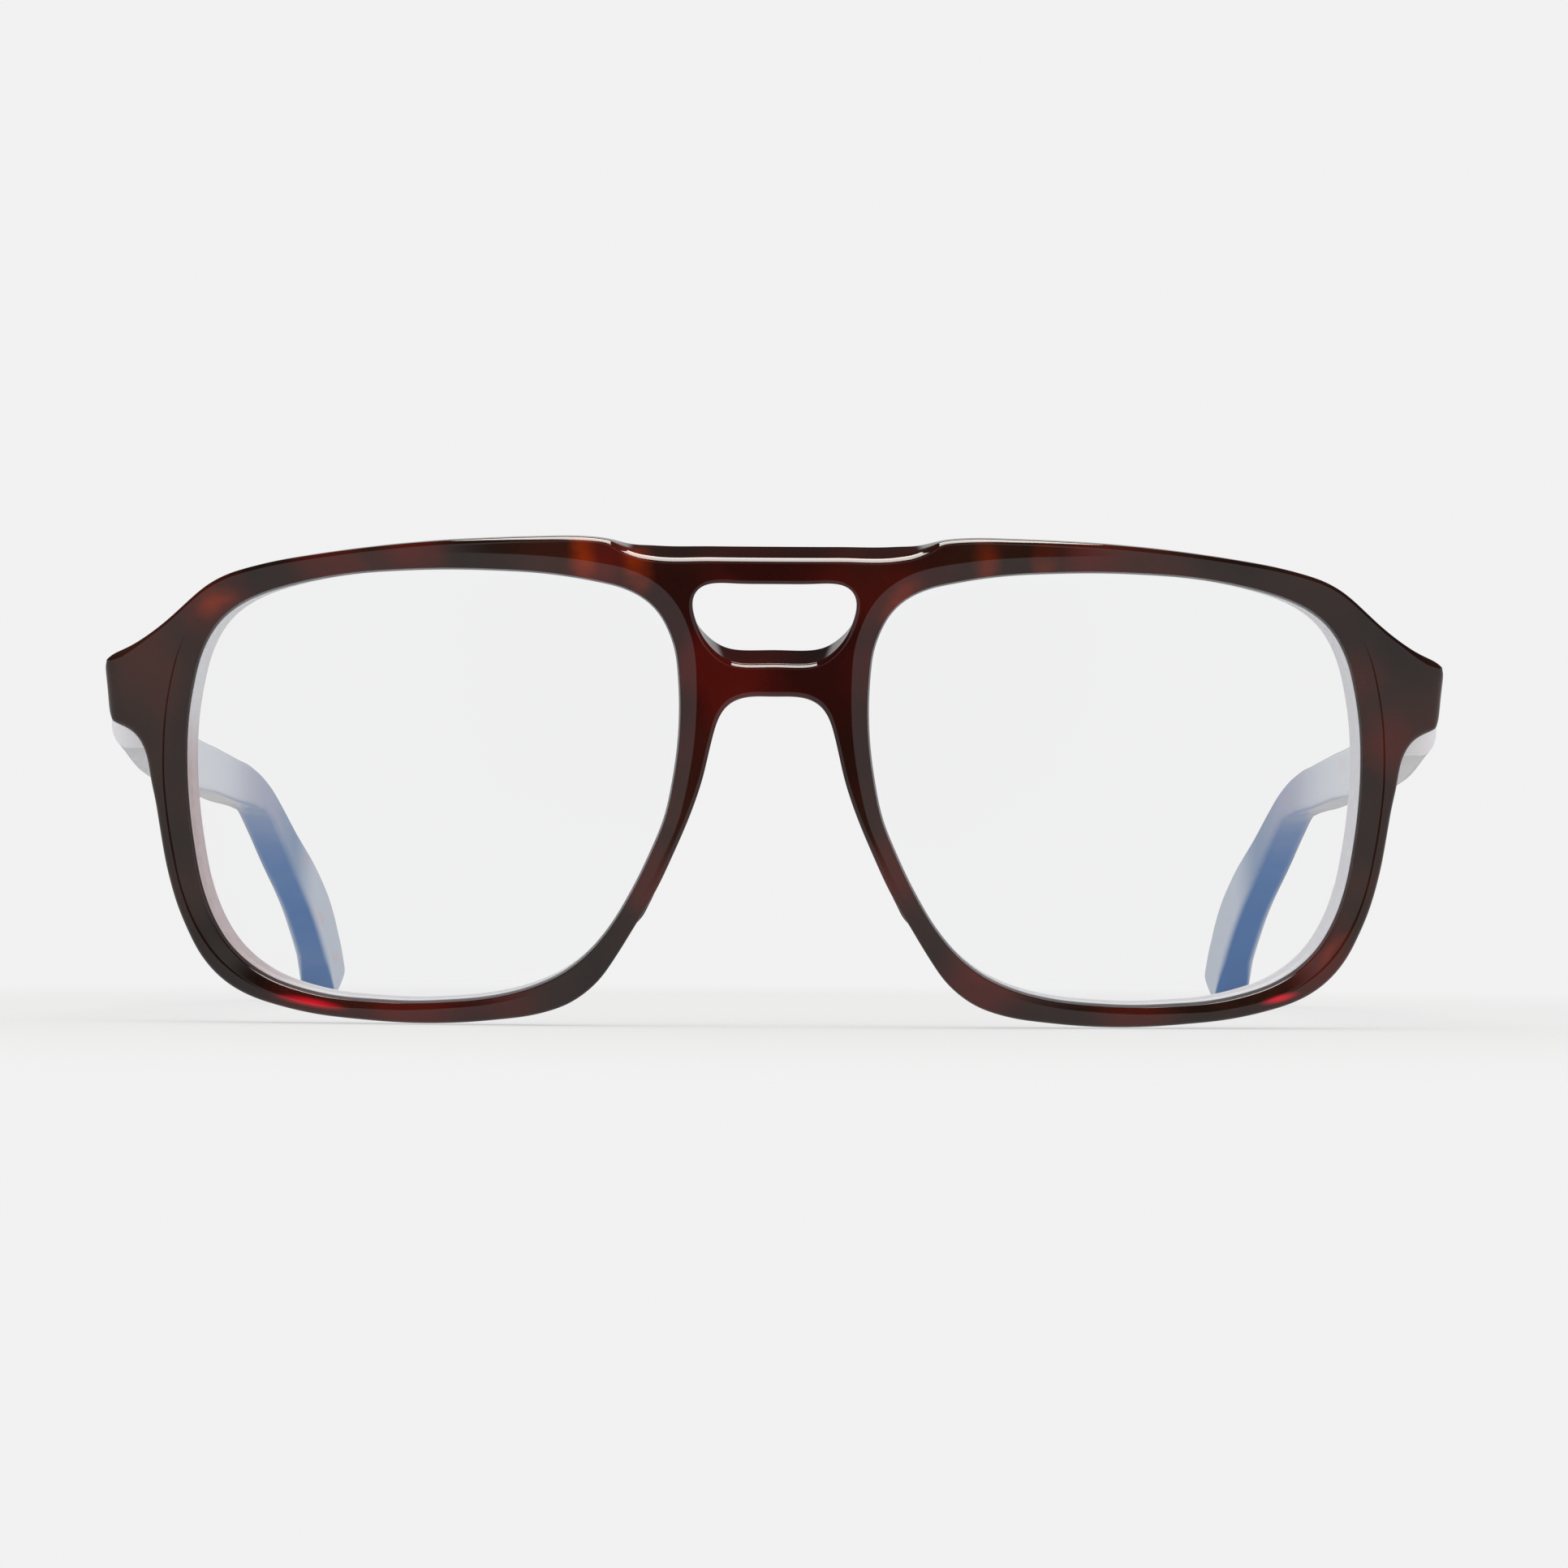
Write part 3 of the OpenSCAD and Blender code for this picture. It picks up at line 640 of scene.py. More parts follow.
def tortoise(name, marked):
    """Polished tortoiseshell acetate: near-black brown with faint red and amber clouds.
    A marked one also has the clouds and patches of the lists above, and a painted glow: bright
    red colour that stands in for light shining through the rims."""
    p = paint(name)
    place = p.place()
    moved = p.wander(place, scale=110, reach=0.005)
    cloud = p.noise(moved, scale=60)
    streak = p.noise(p.stretched(moved, turn=(0, 0.2, 0), scale=(0.5, 1, 1.4)),
                     scale=260, detail=3, rough=0.55)
    red_share = cloud.between(0.5, 0.75) * 0.35
    amber_share = cloud.between(0.66, 0.8) * 0.15
    colour = p.mix(cloud.between(0.35, 0.62), *GROUND_BROWN)
    if marked:
        red_share = red_share + clouds(p, moved, RED_CLOUDS) * 0.8
        amber_share = patches(p, p.wander(place, scale=200, reach=0.003), AMBER_PATCHES)
        soft = p.noise(p.stretched(moved, turn=(0, 0.3, 0), scale=(0.7, 1, 1)),
                       scale=110, detail=1, rough=0.4)
        deep_red = p.mix(soft.between(0.38, 0.66), *BAR_RED)
        colour = p.mix(clouds(p, place, BAR_CLOUDS), colour, deep_red)
    colour = p.mix(red_share * (0.6 + 0.6 * streak), colour, CLOUD_RED)
    colour = p.mix(amber_share * (0.5 + streak.between(0.3, 0.62) * 0.5), colour, PATCH_AMBER)
    if marked:
        # Painted glow: bright red base colour where light shines through the rims' outer corners
        colour = p.mix(patches(p, place, PAINTED_GLOW_PATCHES), colour, PAINTED_GLOW_RED)
    smear = p.noise(place, scale=260, detail=3, rough=0.6)
    return p.surface(p.shader(
        "BsdfPrincipled", Base_Color=colour, Roughness=0.035 + smear * 0.04, IOR=1.49,
        Coat_Weight=0.7, Coat_Roughness=0.02, Coat_IOR=1.5,
        Normal=p.bump(p.noise(place, scale=200), distance=0.000006)))


# Colours of the temples' pale layers: of the faces from the bend to the tip, of the edges
# at the hinge and towards the tip, and of the flecks
BEND_BLUE = (0.4, 0.44, 0.62)
DEEP_BLUE = (0.26, 0.36, 0.54)
TIP_BLUE = (0.6, 0.66, 0.76)
HINGE_PALE = (0.8, 0.795, 0.82)
EDGE_BLUE = (0.1, 0.21, 0.45)
FLECK_AMBER = (0.8, 0.42, 0.32)
# Painted light: emission that stands in for light coming through the layers, near the hinge and
# at the cut front end
PAINTED_SIDE_GLOW = (0.12, 0.125, 0.13)
PAINTED_BUTT_GLOW = (0.4, 0.39, 0.4)
# Where one of these passes into the next, in metres back
TO_BEND = (-0.03, 0.034)
TO_DEEP = (0.032, 0.045)
TO_TIP = (0.045, 0.056)
TO_EDGE_BLUE = (0.004, 0.046)
PAST_PAINTED_SIDE_GLOW = (-0.01, 0.04)
PAST_PAINTED_BUTT_GLOW = (-0.0565, -0.054)


def laminate(name, face_front, fleck_share):
    """One layer of the pale temples: milky, and deep blue where one looks into the edge
    of its rear part. Painted light: its faces near the hinge and its cut front end glow, standing
    in for light that comes through the layers."""
    p = paint(name)
    place = p.place()
    back = p.parts(place)[1]
    facing = p.parts(p.node("ShaderNodeTexCoord", out="Normal"))[0].size()
    haze = p.noise(p.wander(place, scale=60, reach=0.02), scale=45, detail=3, rough=0.55)
    grain = p.stretched(p.wander(place, scale=120, reach=0.008), turn=(0, 0, 0),
                        scale=(1, 0.35, 1))
    spots = p.noise(grain, scale=190, detail=4, rough=0.6)
    face = p.mix(back.between(*TO_BEND), face_front, BEND_BLUE)
    face = p.mix(back.between(*TO_DEEP), face, DEEP_BLUE)
    face = p.mix(back.between(*TO_TIP), face, TIP_BLUE)
    edge = p.mix(back.between(*TO_EDGE_BLUE), HINGE_PALE, EDGE_BLUE)
    colour = p.mix(facing.between(0.1, 0.97), edge, face)
    colour = p.mix(haze.between(0.4, 0.8) * 0.2, colour, TIP_BLUE)
    fleck = spots.between(0.6, 0.74) * facing.between(0.5, 0.9) * fleck_share
    colour = p.mix(fleck, colour, FLECK_AMBER)
    # Painted light: the faces near the hinge and the cut front end glow, standing in for light
    # that comes through the layers
    lit = facing.between(0.5, 0.97) * (1 - back.between(*PAST_PAINTED_SIDE_GLOW))
    through = p.mix(lit, (0, 0, 0), PAINTED_SIDE_GLOW)
    through = p.mix(back.between(*PAST_PAINTED_BUTT_GLOW), PAINTED_BUTT_GLOW, through)
    return p.surface(p.shader(
        "BsdfPrincipled", Base_Color=colour, Roughness=0.08 + haze * 0.06, IOR=1.48,
        Emission_Color=through, Emission_Strength=1.0,
        Normal=p.bump(p.noise(place, scale=300), distance=0.00001)))


def steel(name, colour, turn=(0, 0, 0)):
    """Satin steel with fine brush marks."""
    p = paint(name)
    place = p.place()
    marks = p.noise(p.stretched(place, turn, scale=(1, 1, 14)), scale=900, detail=3, rough=0.6)
    wear = p.noise(place, scale=500, detail=3)
    tint = p.mix(wear.between(0.3, 0.75), colour, tuple(c * 0.8 for c in colour))
    return p.surface(p.shader(
        "BsdfPrincipled", Base_Color=tint, Metallic=1.0, Roughness=0.22 + marks * 0.2,
        Normal=p.bump(marks, distance=0.00001)))


# Colours of the lenses: the coating's reflex, the clear glass, and the ground edge with
# its grain and the pinkish tone that it has low on the right side, which also colour its painted
# glow
REFLEX_BLUE = (0.72, 0.76, 1, 1)
CLEAR = (0.998, 0.999, 1, 1)
GROUND_GREY = (0.68, 0.68, 0.69)
GROUND_PALE = (0.8, 0.8, 0.81)
GROUND_PINK = (0.5, 0.4, 0.4)
# Where the pinkish tone ends, in metres across and up
PINK_ACROSS = (-0.06, -0.05)
PINK_UP = (0.028, 0.038)


def lens_glass():
    """Clear coated lens: what lies behind shows through, with a faint blue reflex, and
    its ground edge is a matt white with a painted glow that stands in for light reaching it
    through the lens."""
    p = paint("lens")
    place = p.place()
    gloss = p.node("ShaderNodeFresnel", values={"IOR": 1.5})
    smear = p.noise(place, scale=90, detail=3)
    clear = p.node("ShaderNodeMixShader", values={
        0: gloss * (0.22 + smear * 0.12),
        1: p.shader("BsdfTransparent", Color=CLEAR),
        2: p.shader("BsdfAnisotropic", Color=REFLEX_BLUE, Roughness=0.02)})
    across, _, height = p.parts(place)
    pink = (1 - across.between(*PINK_ACROSS)) * (1 - height.between(*PINK_UP))
    tone = p.mix(pink, GROUND_GREY, GROUND_PINK)
    grain = p.noise(place, scale=900, detail=3)
    # Painted light: the ground edge glows faintly in its own tone, standing in for light that
    # reaches it through the lens
    ground = p.shader(
        "BsdfPrincipled", Base_Color=p.mix(grain * 0.4, tone, GROUND_PALE), Roughness=0.5,
        Emission_Color=tone, Emission_Strength=0.22)
    facing = p.parts(p.node("ShaderNodeTexCoord", out="Normal"))[1].size()
    return p.surface(p.node("ShaderNodeMixShader", values={
        0: 1 - facing.between(0.82, 0.89), 1: clear, 2: ground}))


tortoise_front = tortoise("tortoise_acetate", marked=True)
tortoise_pad = tortoise("pad_acetate", marked=False)
ice_acetate = laminate("ice_acetate", face_front=(0.7, 0.73, 0.78), fleck_share=0.25)
crystal_acetate = laminate("crystal_acetate", face_front=(0.74, 0.73, 0.75), fleck_share=0.5)
hinge_steel = steel("hinge_steel", (0.6, 0.6, 0.62))
screw_steel = steel("screw_steel", (0.64, 0.64, 0.66))
core_steel = steel("core_steel", (0.6, 0.6, 0.62), turn=(math.pi / 2, 0, 0))
lens_clear = lens_glass()

# The front

# How widely the bow runs into the flat cut of the end pieces, and the outline into the top
# bar's upper face
CUT_BLEND = 0.4
BAR_BLEND = 0.3


def face_back(x, up, depth):
    """How far back a bowed face lies that is this deep behind the front's face."""
    return FRONT_R - np.sqrt((FRONT_R - depth) ** 2 - x * x - up * up)


def rear_back(x, up):
    """How far back the rear face lies: bowed, and cut flat at the end pieces."""
    return soft_min(face_back(x, up, FRONT_T), END_BACK + 0 * x, CUT_BLEND)


step_line = curve(STEP_HALF, False)
front_outline = outline(whole(FRONT_HALF))
window_outline = outline([(x, up + WINDOW_UP) for x, up in whole(WINDOW_HALF)])[::-1]
lens_outline = outline([(x + LENS_MID[0], up + LENS_MID[1]) for x, up in LENS])[::-1]
lens_outlines = {1: lens_outline, -1: (lens_outline * (-1, 1))[::-1]}


def front_loop(back):
    """The front's outline at a distance back: the top bar's upper face slopes."""
    x, up = front_outline.T
    bar = BAR_UP + np.interp(np.abs(x), *step_line.T) + back * BAR_SLOPE
    return np.column_stack([x, soft_min(up, bar, BAR_BLEND)])


def window_loop(back):
    """The window's outline at a distance back: it slopes with the bars and widens."""
    x, up = window_outline.T
    return np.column_stack([x * (1 + WINDOW_FLARE * back), up + back * BAR_SLOPE])


def bevel(loop):
    """Width and drop of the bevel round a lens opening, at each point of its outline."""
    across, up = (np.abs(loop[:, 0]) - LENS_MID[0], loop[:, 1] - LENS_MID[1])
    turn = np.degrees(np.arctan2(up, across)) % 360
    table = curve(BEVEL, False)
    return [np.interp(turn, table[:, 0], table[:, k]) for k in (1, 2)]


def bowed(flat, back):
    return np.column_stack([flat[:, 0], back, flat[:, 1]])


def ring(loop_at, inset=0, depth=0, rear=None, sink=0, share=0, crease=None, edge=None):
    """One ring of a profile: how far into the material, and how deep behind the front's
    face or before the rear face. Sink and share add parts of the lens bevel's drop and
    width, crease is a distance from the bevel's outer line, and edge scales a fillet."""
    loop = loop_at(0)
    if edge is not None:
        size = edge(loop)
        inset, depth = inset * size, depth * size
    if sink or share or crease is not None:
        width, drop = bevel(loop)
        inset, depth = inset + share * width, depth + sink * drop
    if crease is not None:
        inset = inset + width + crease
        depth = depth + drop / width * (CREASE - crease) ** 2 / (4 * CREASE)
    inset = np.broadcast_to(inset, len(loop))[:, None]
    back = 0
    for _ in range(3):
        loop = loop_at(back)
        flat = loop + into_material(loop) * inset
        x, up = flat.T
        back = face_back(x, up, depth) if rear is None else rear_back(x, up) - rear
    return flat, bowed(flat, back)


def fillet(radius, turns=6):
    """Pairs of inset and depth along a rounded edge, from the face to the wall."""
    angles = [math.pi / 2 * k / turns for k in range(turns + 1)]
    return [(radius * (1 - math.sin(a)), radius * (1 - math.cos(a))) for a in angles]


def front_edge(radius, edge=None):
    return [dict(inset=i, depth=d, edge=edge) for i, d in fillet(radius)]


def rear_edge(radius):
    return [dict(inset=i, rear=d) for i, d in fillet(radius)[::-1]]


# Where the outer edge's radius changes: across to the end pieces, and across and up to the
# arch over the nose
END_ZONE = (71, 74.5)
NOSE_ZONE = (18, 22)
ARCH_ZONE = (6, 9)
# At a corner, shares of the points' spacing: what the radius keeps to, for each radian of
# the turn, and what it gains with each point away from there
CORNER_SHARE = 0.8
CORNER_GAIN_SHARE = 0.35


def outline_edge(loop):
    """Radius of the front's outer edge: larger at the end pieces, smaller beside the nose
    and never past the outline's own corners."""
    x, up = np.abs(loop[:, 0]), loop[:, 1]
    at_nose = (1 - ramp(x, *NOSE_ZONE)) * (1 - ramp(up, *ARCH_ZONE))
    radius = (FRONT_EDGE + (END_EDGE - FRONT_EDGE) * ramp(x, *END_ZONE)
              - (FRONT_EDGE - NOSE_EDGE) * at_nose)
    along = np.roll(loop, -1, 0) - loop
    before = np.roll(along, 1, 0)
    turn = np.arctan2(before[:, 0] * along[:, 1] - before[:, 1] * along[:, 0],
                      (before * along).sum(1))
    corner = CORNER_SHARE * STEP / np.maximum(turn, 0.01)
    for shift in range(-3, 4):
        gain = CORNER_GAIN_SHARE * STEP * abs(shift)
        radius = np.minimum(radius, np.roll(corner, shift) + gain)
    return sum(np.roll(radius, shift) for shift in (-1, 0, 1)) / 3


# Rings on a wall between its front and rear edges
WALL = [dict(depth=1.5), dict(rear=1.6)]
# The flat ring beside the outline, as a share of its edge's radius
FLAT_SHARE = 1.15
OUTLINE_PROFILE = (
    [dict(inset=FLAT_SHARE, edge=outline_edge)] + front_edge(1, outline_edge) + WALL
    + rear_edge(REAR_EDGE) + [dict(inset=REAR_EDGE + SUPPORT, rear=0)]
)
WINDOW_PROFILE = (
    [dict(inset=WINDOW_EDGE + SUPPORT)] + front_edge(WINDOW_EDGE) + WALL
    + rear_edge(WINDOW_EDGE) + [dict(inset=WINDOW_EDGE + SUPPORT, rear=0)]
)
# A lens opening: the rings of its crease and its bevel as shares of their widths, and the
# rounding that ends the bevel, as inset and as depth past it
CREASE_SHARES = (1, 0.5, 0, -0.5, -1)
BEVEL_SHARES = (0.7, 0.4, 0.2)
BEVEL_END = [(0.12, -0.07), (0.06, -0.03), (0.02, 0.04), (0, 0.14)]
GROOVE_FLAT = 0.06
OPENING_SUPPORT = 0.15
groove_front = LENS_SET + (LENS_T - TONGUE_T) / 2 - LENS_FIT
groove_back = groove_front + TONGUE_T + 2 * LENS_FIT
LENS_PROFILE = (
    [dict(crease=share * CREASE) for share in CREASE_SHARES]
    + [dict(share=share, sink=1 - share) for share in BEVEL_SHARES]
    + [dict(inset=inset, sink=1, depth=depth) for inset, depth in BEVEL_END]
    + [dict(depth=groove_front - GROOVE_FLAT), dict(depth=groove_front),
       dict(inset=TONGUE_W, depth=groove_front), dict(inset=TONGUE_W, depth=groove_back),
       dict(depth=groove_back), dict(depth=groove_back + GROOVE_FLAT)]
    + rear_edge(OPENING_EDGE) + [dict(inset=OPENING_EDGE + OPENING_SUPPORT, rear=0)]
)


def opening_loop(side):
    """A lens opening's outline at a distance back: its wall leans in as the front bows."""
    def at(back):
        x, up = lens_outlines[side].T
        deep = np.maximum(0, back - face_back(x, up, 0))
        return np.column_stack([x * (1 - OPENING_LEAN * deep / FRONT_R), up])
    return at


profiles = [(front_loop, OUTLINE_PROFILE), (window_loop, WINDOW_PROFILE)]
profiles += [(opening_loop(side), LENS_PROFILE) for side in (1, -1)]
front = from_points("front", *sheet(
    [[ring(loop_at, **step) for step in profile] for loop_at, profile in profiles],
    lambda flat: bowed(flat, face_back(*flat.T, 0)),
    lambda flat: bowed(flat, rear_back(*flat.T))))
for side, _ in SIDES:
    combine(front, block(
        (side * (TEMPLE_X - FRONT_PLATE_W - POCKET_FIT), END_BACK - PLATE_T - POCKET_FIT,
         HINGE_LOW - POCKET_FIT),
        (side * (TEMPLE_X + POCKET_FIT), END_BACK + OVERRUN,
         HINGE_LOW + HINGE_H + POCKET_FIT)), "DIFFERENCE")
smooth(front)
hand_over(front, "front_tortoise", "front_assembly", "tortoise_acetate", tortoise_front, "front")

# Lenses

# Edge of a lens, each as inset and depth: the flat ring of its face, the rounding from a
# face, and the V in the groove, from the groove's middle
LENS_FLAT = 0.55
LENS_CORNER = [(0.3, 0), (0.2, 0.03), (0.14, 0.1)]
LENS_V = [(0.14, -0.6), (-0.37, -0.04), (-0.37, 0.04), (0.14, 0.6)]
groove_mid = (groove_front + groove_back) / 2


def lens_rear(x, up):
    """How deep the rear face of a lens lies: the lens is thicker towards its edge."""
    out = np.hypot(np.abs(x) - LENS_MID[0], up - LENS_MID[1]) / LENS_HALF
    return LENS_SET + LENS_T + LENS_SWELL * out ** 2


def lens_loop(side):
    """A lens's outline at a distance back: that of its opening, running the other way."""
    opening = opening_loop(side)
    return lambda back: opening(np.flip(back))[::-1]


def lens_rings(loop_at):
    """The rings of a lens: its face, the V in the groove, and its rear face."""
    edge_rear = lens_rear(*loop_at(0).T)
    steps = [(LENS_FLAT, LENS_FACE)]
    steps += [(inset, LENS_FACE + depth) for inset, depth in LENS_CORNER]
    steps += [(inset, groove_mid + depth) for inset, depth in LENS_V]
    steps += [(inset, edge_rear - depth) for inset, depth in LENS_CORNER[::-1]]
    return [ring(loop_at, inset, depth) for inset, depth in steps]


for side, word in SIDES:
    lens = from_points("lens", *sheet(
        [lens_rings(lens_loop(side))],
        lambda flat: bowed(flat, face_back(*flat.T, LENS_FACE)),
        lambda flat: bowed(flat, face_back(*flat.T, lens_rear(*flat.T)))))
    smooth(lens, angle=30)
    hand_over(lens, "lens_clear_" + word, "front_assembly", "lens", lens_clear, "lens_" + word)

# Nose pads: ridges that rise behind the rims, along the nose

ridge = curve(PAD, False)
ridge_turns = np.linspace(0, math.pi, 25)
for side, word in SIDES:
    points, count = [], len(ridge_turns)
    for up, x, half, height in ridge:
        over = height * np.sin(ridge_turns) ** PAD_ROUND
        across = side * (x + half * np.cos(ridge_turns) * (1 - PAD_TAPER * over / PAD_H))
        base = face_back(across, up, FRONT_T) - PAD_SINK
        points += list(zip(across + side * over * PAD_LEAN, base + over, up + 0 * over))
    last = len(points) - count
    faces = [(k + i, k + (i + 1) % count, k + count + (i + 1) % count, k + count + i)
             for k in range(0, last, count) for i in range(count)]
    faces += [list(range(count)), list(range(last, last + count))]
    pad = from_points("pad", points, faces)
    modify(pad, "REMESH", mode="VOXEL", voxel_size=0.14)
    modify(pad, "SMOOTH", factor=0.5, iterations=8)
    smooth(pad, angle=60)
    hand_over(pad, "nose_pad_acetate_" + word, "front_assembly", "pad_acetate", tortoise_pad,
              "nose_pad_" + word)

# Temples

# Edges of a temple near its tip: the share of their radius that is left there, and the
# distances from the tip between which they gain the rest
TIP_EDGE_SHARE = 0.32
TIP_ZONE = (3, 7)
# The flat ring of the outer face, as a share of its edge's radius
OUTER_FLAT_SHARE = 1.06

spine = even(curve(
    [(back + TEMPLE_FRONT, up + HINGE_UP, share * TEMPLE_HALF_H) for back, up, share in SPINE],
    False), False)
along = np.gradient(spine[:, :2], axis=0)
along /= np.linalg.norm(along, axis=1)[:, None]
spine_up = np.column_stack([-along[:, 1], along[:, 0]])
upper = spine[:, :2] + spine_up * spine[:, 2:]
lower = spine[:, :2] - spine_up * spine[:, 2:]
bow_line = curve([(share * TEMPLE_L, inset * TIP_IN) for share, inset in BOW], False)


def end_round(middle, along, half, long, square):
    """A rounded end from the edge on the right of along to the edge on its left; the lower
    square is, the squarer is the end."""
    turns = np.linspace(-math.pi / 2, math.pi / 2, 33)[1:-1, None]
    across = np.array([-along[1], along[0]]) * half
    return (middle + np.sign(turns) * np.abs(np.sin(turns)) ** square * across
            + np.cos(turns) ** square * along * long)


used = spine[:, 0] > TEMPLE_FRONT - BUTT_OVER
spine_start, start_along = spine[used][0], -along[used][0]
temple_loop = even(np.vstack([
    lower[used], end_round(spine[-1, :2], along[-1], spine[-1, 2], TIP_ROUND, square=0.5),
    upper[used][::-1],
    end_round(spine_start[:2], start_along, spine_start[2], TEMPLE_HALF_H, square=1)]), True)
tip_middle = spine[-1, :2] + along[-1] * TIP_ROUND / 2
tip_away = np.hypot(*(temple_loop - tip_middle).T)
tip_share = TIP_EDGE_SHARE + (1 - TIP_EDGE_SHARE) * ramp(tip_away, *TIP_ZONE)


def temple_inset(back):
    """How far the temple has come in towards the head at a distance back."""
    return np.interp(back - TEMPLE_FRONT, *bow_line.T)


def temple_place(side, flat, level):
    return np.column_stack([side * (TEMPLE_X + level - temple_inset(flat[:, 0])), flat])


def temple_ring(side, inset, level):
    """One ring of a temple layer: inset from the outline, distance from the inner face."""
    flat = temple_loop + into_material(temple_loop) * np.reshape(inset, (-1, 1))
    return flat, temple_place(side, flat, level)


def layer(side, low, high, edge, at_low):
    """A temple layer between two distances from the inner face, with its inner or its
    outer edges rounded and its front end cut flat."""
    flush = 0 * temple_loop[:, 0]
    edge = edge * tip_share
    if at_low:
        rings = [(edge + SUPPORT, low)] + [(edge * i, low + edge * d) for i, d in fillet(1)]
        rings += [(flush, high), (flush + SUPPORT, high)]
    else:
        tall = np.interp(temple_loop[:, 0] - TEMPLE_FRONT, *np.transpose(OUTER_ROUND)) * tip_share
        rings = [(flush + SUPPORT, low), (flush, low)]
        rings += [(tall * i, high - edge * d) for i, d in fillet(1, 8)[::-1]]
        rings += [(tall * OUTER_FLAT_SHARE, high)]
    made = from_points("layer", *sheet(
        [[temple_ring(side, *r) for r in rings]],
        lambda flat: temple_place(side, flat, low),
        lambda flat: temple_place(side, flat, high)))
    edit(made)
    bpy.ops.mesh.bisect(plane_co=(0, TEMPLE_FRONT, 0), plane_no=(0, -1, 0), use_fill=True,
                        clear_outer=True)
    close_edit()
    edit(made)
    bpy.ops.mesh.normals_make_consistent(inside=False)
    close_edit()
    return made


def plate_line(grow):
    """Side view of the plate on a temple, grown by the clearance of its pocket."""
    neck, reach = 2 * BARREL_R, HINGE_H / 2 - BARREL_PITCH + grow
    rows = spine[(spine[:, 0] > TEMPLE_FRONT + neck + BARREL_R)
                 & (spine[:, 0] < TEMPLE_FRONT + TEMPLE_PLATE_L)]
    up, half = rows[:, 1], rows[:, 2] * PLATE_SHARE + grow
    back = rows[:, 0].copy()
    back[-1] += grow
    front_end = TEMPLE_FRONT - (OVERRUN if grow else 0)
    low = [(front_end, HINGE_UP - reach), (TEMPLE_FRONT + neck, HINGE_UP - reach)]
    high = [(TEMPLE_FRONT + neck, HINGE_UP + reach), (front_end, HINGE_UP + reach)]
    return low + list(zip(back, up - half)) + list(zip(back, up + half))[::-1] + high


def core_hole(side):
    """The mouth of the core wire's channel in a lining's front end."""
    half = CORE_W / 2 + POCKET_FIT
    return block(
        (side * (TEMPLE_X + CORE_IN - POCKET_FIT), TEMPLE_FRONT - OVERRUN, HINGE_UP - half),
        (side * (TEMPLE_X + CORE_IN + CORE_T + POCKET_FIT), TEMPLE_FRONT + CORE_HOLE,
         HINGE_UP + half))


for side, word in SIDES:
    body = word + "_temple"
    outer = layer(side, LINING_T, TEMPLE_T, OUTER_EDGE, at_low=False)
    smooth(outer, angle=50)
    hand_over(outer, "temple_crystal_" + word, body, "crystal_acetate", crystal_acetate,
              "temple_" + word)
    lining = layer(side, 0, LINING_T, LINING_EDGE, at_low=True)
    combine(lining, prism(plate_line(POCKET_FIT), side * (TEMPLE_X - OVERRUN),
                          side * (TEMPLE_X + PLATE_T + POCKET_FIT)), "DIFFERENCE")
    combine(lining, core_hole(side), "DIFFERENCE")
    smooth(lining, angle=50)
    hand_over(lining, "temple_ice_" + word, body, "ice_acetate", ice_acetate,
              "temple_lining_" + word)

# Hinges, their screws and the core wires


def barrel(side, level):
    """One of a hinge's five barrels, counted from below, before its hole is drilled."""
    return rod(side * HINGE_X, HINGE_BACK, HINGE_LOW + level * BARREL_PITCH, BARREL_H, BARREL_R)


def drilled(leaf, side):
    """A leaf with the screw's hole through its barrels."""
    return combine(leaf, rod(side * HINGE_X, HINGE_BACK, HINGE_LOW - OVERRUN,
                             HINGE_H + 2 * OVERRUN, SCREW_R + SCREW_FIT), "DIFFERENCE")


def front_leaf(side):
    """The leaf in the end piece: a plate and three barrels, each on its own arm."""
    leaf = block((side * (TEMPLE_X - FRONT_PLATE_W), END_BACK - PLATE_T, HINGE_LOW),
                 (side * TEMPLE_X, END_BACK, HINGE_LOW + HINGE_H))
    for level in (0, 2, 4):
        low = HINGE_LOW + level * BARREL_PITCH
        combine(leaf, barrel(side, level), "UNION")
        combine(leaf, block(
            (side * (TEMPLE_X - FRONT_PLATE_W), END_BACK - PLATE_T / 2, low),
            (side * (HINGE_X + BARREL_R), HINGE_BACK, low + BARREL_H)), "UNION")
    return drilled(leaf, side)


def temple_leaf(side):
    """The leaf in the temple: a plate and two barrels, each on its own arm."""
    leaf = prism(plate_line(0), side * TEMPLE_X, side * (TEMPLE_X + PLATE_T))
    for level in (1, 3):
        low = HINGE_LOW + level * BARREL_PITCH
        combine(leaf, barrel(side, level), "UNION")
        combine(leaf, block(
            (side * HINGE_X, TEMPLE_FRONT, low),
            (side * (TEMPLE_X + PLATE_T / 2), TEMPLE_FRONT + 2 * BARREL_R, low + BARREL_H)),
            "UNION")
    return drilled(leaf, side)


def slotted_screw(side):
    """The screw through the five barrels, with its head on top and a slot across it."""
    x, head_low = side * HINGE_X, HINGE_LOW + HINGE_H
    screw = rod(x, HINGE_BACK, HINGE_LOW, HINGE_H + SCREW_HEAD_H / 2, SCREW_R)
    combine(screw, rod(x, HINGE_BACK, head_low, SCREW_HEAD_H, SCREW_HEAD_R), "UNION")
    half = SCREW_HEAD_R + OVERRUN
    return combine(screw, block(
        (x - half, HINGE_BACK - SCREW_SLOT / 2, head_low + SCREW_HEAD_H / 2),
        (x + half, HINGE_BACK + SCREW_SLOT / 2, head_low + SCREW_HEAD_H + OVERRUN)),
        "DIFFERENCE")


def worn(piece):
    """A steel piece with its edges worn round."""
    modify(piece, "BEVEL", width=STEEL_EDGE, segments=2, limit_method="ANGLE",
           angle_limit=math.radians(40))
    return smooth(piece, angle=35)


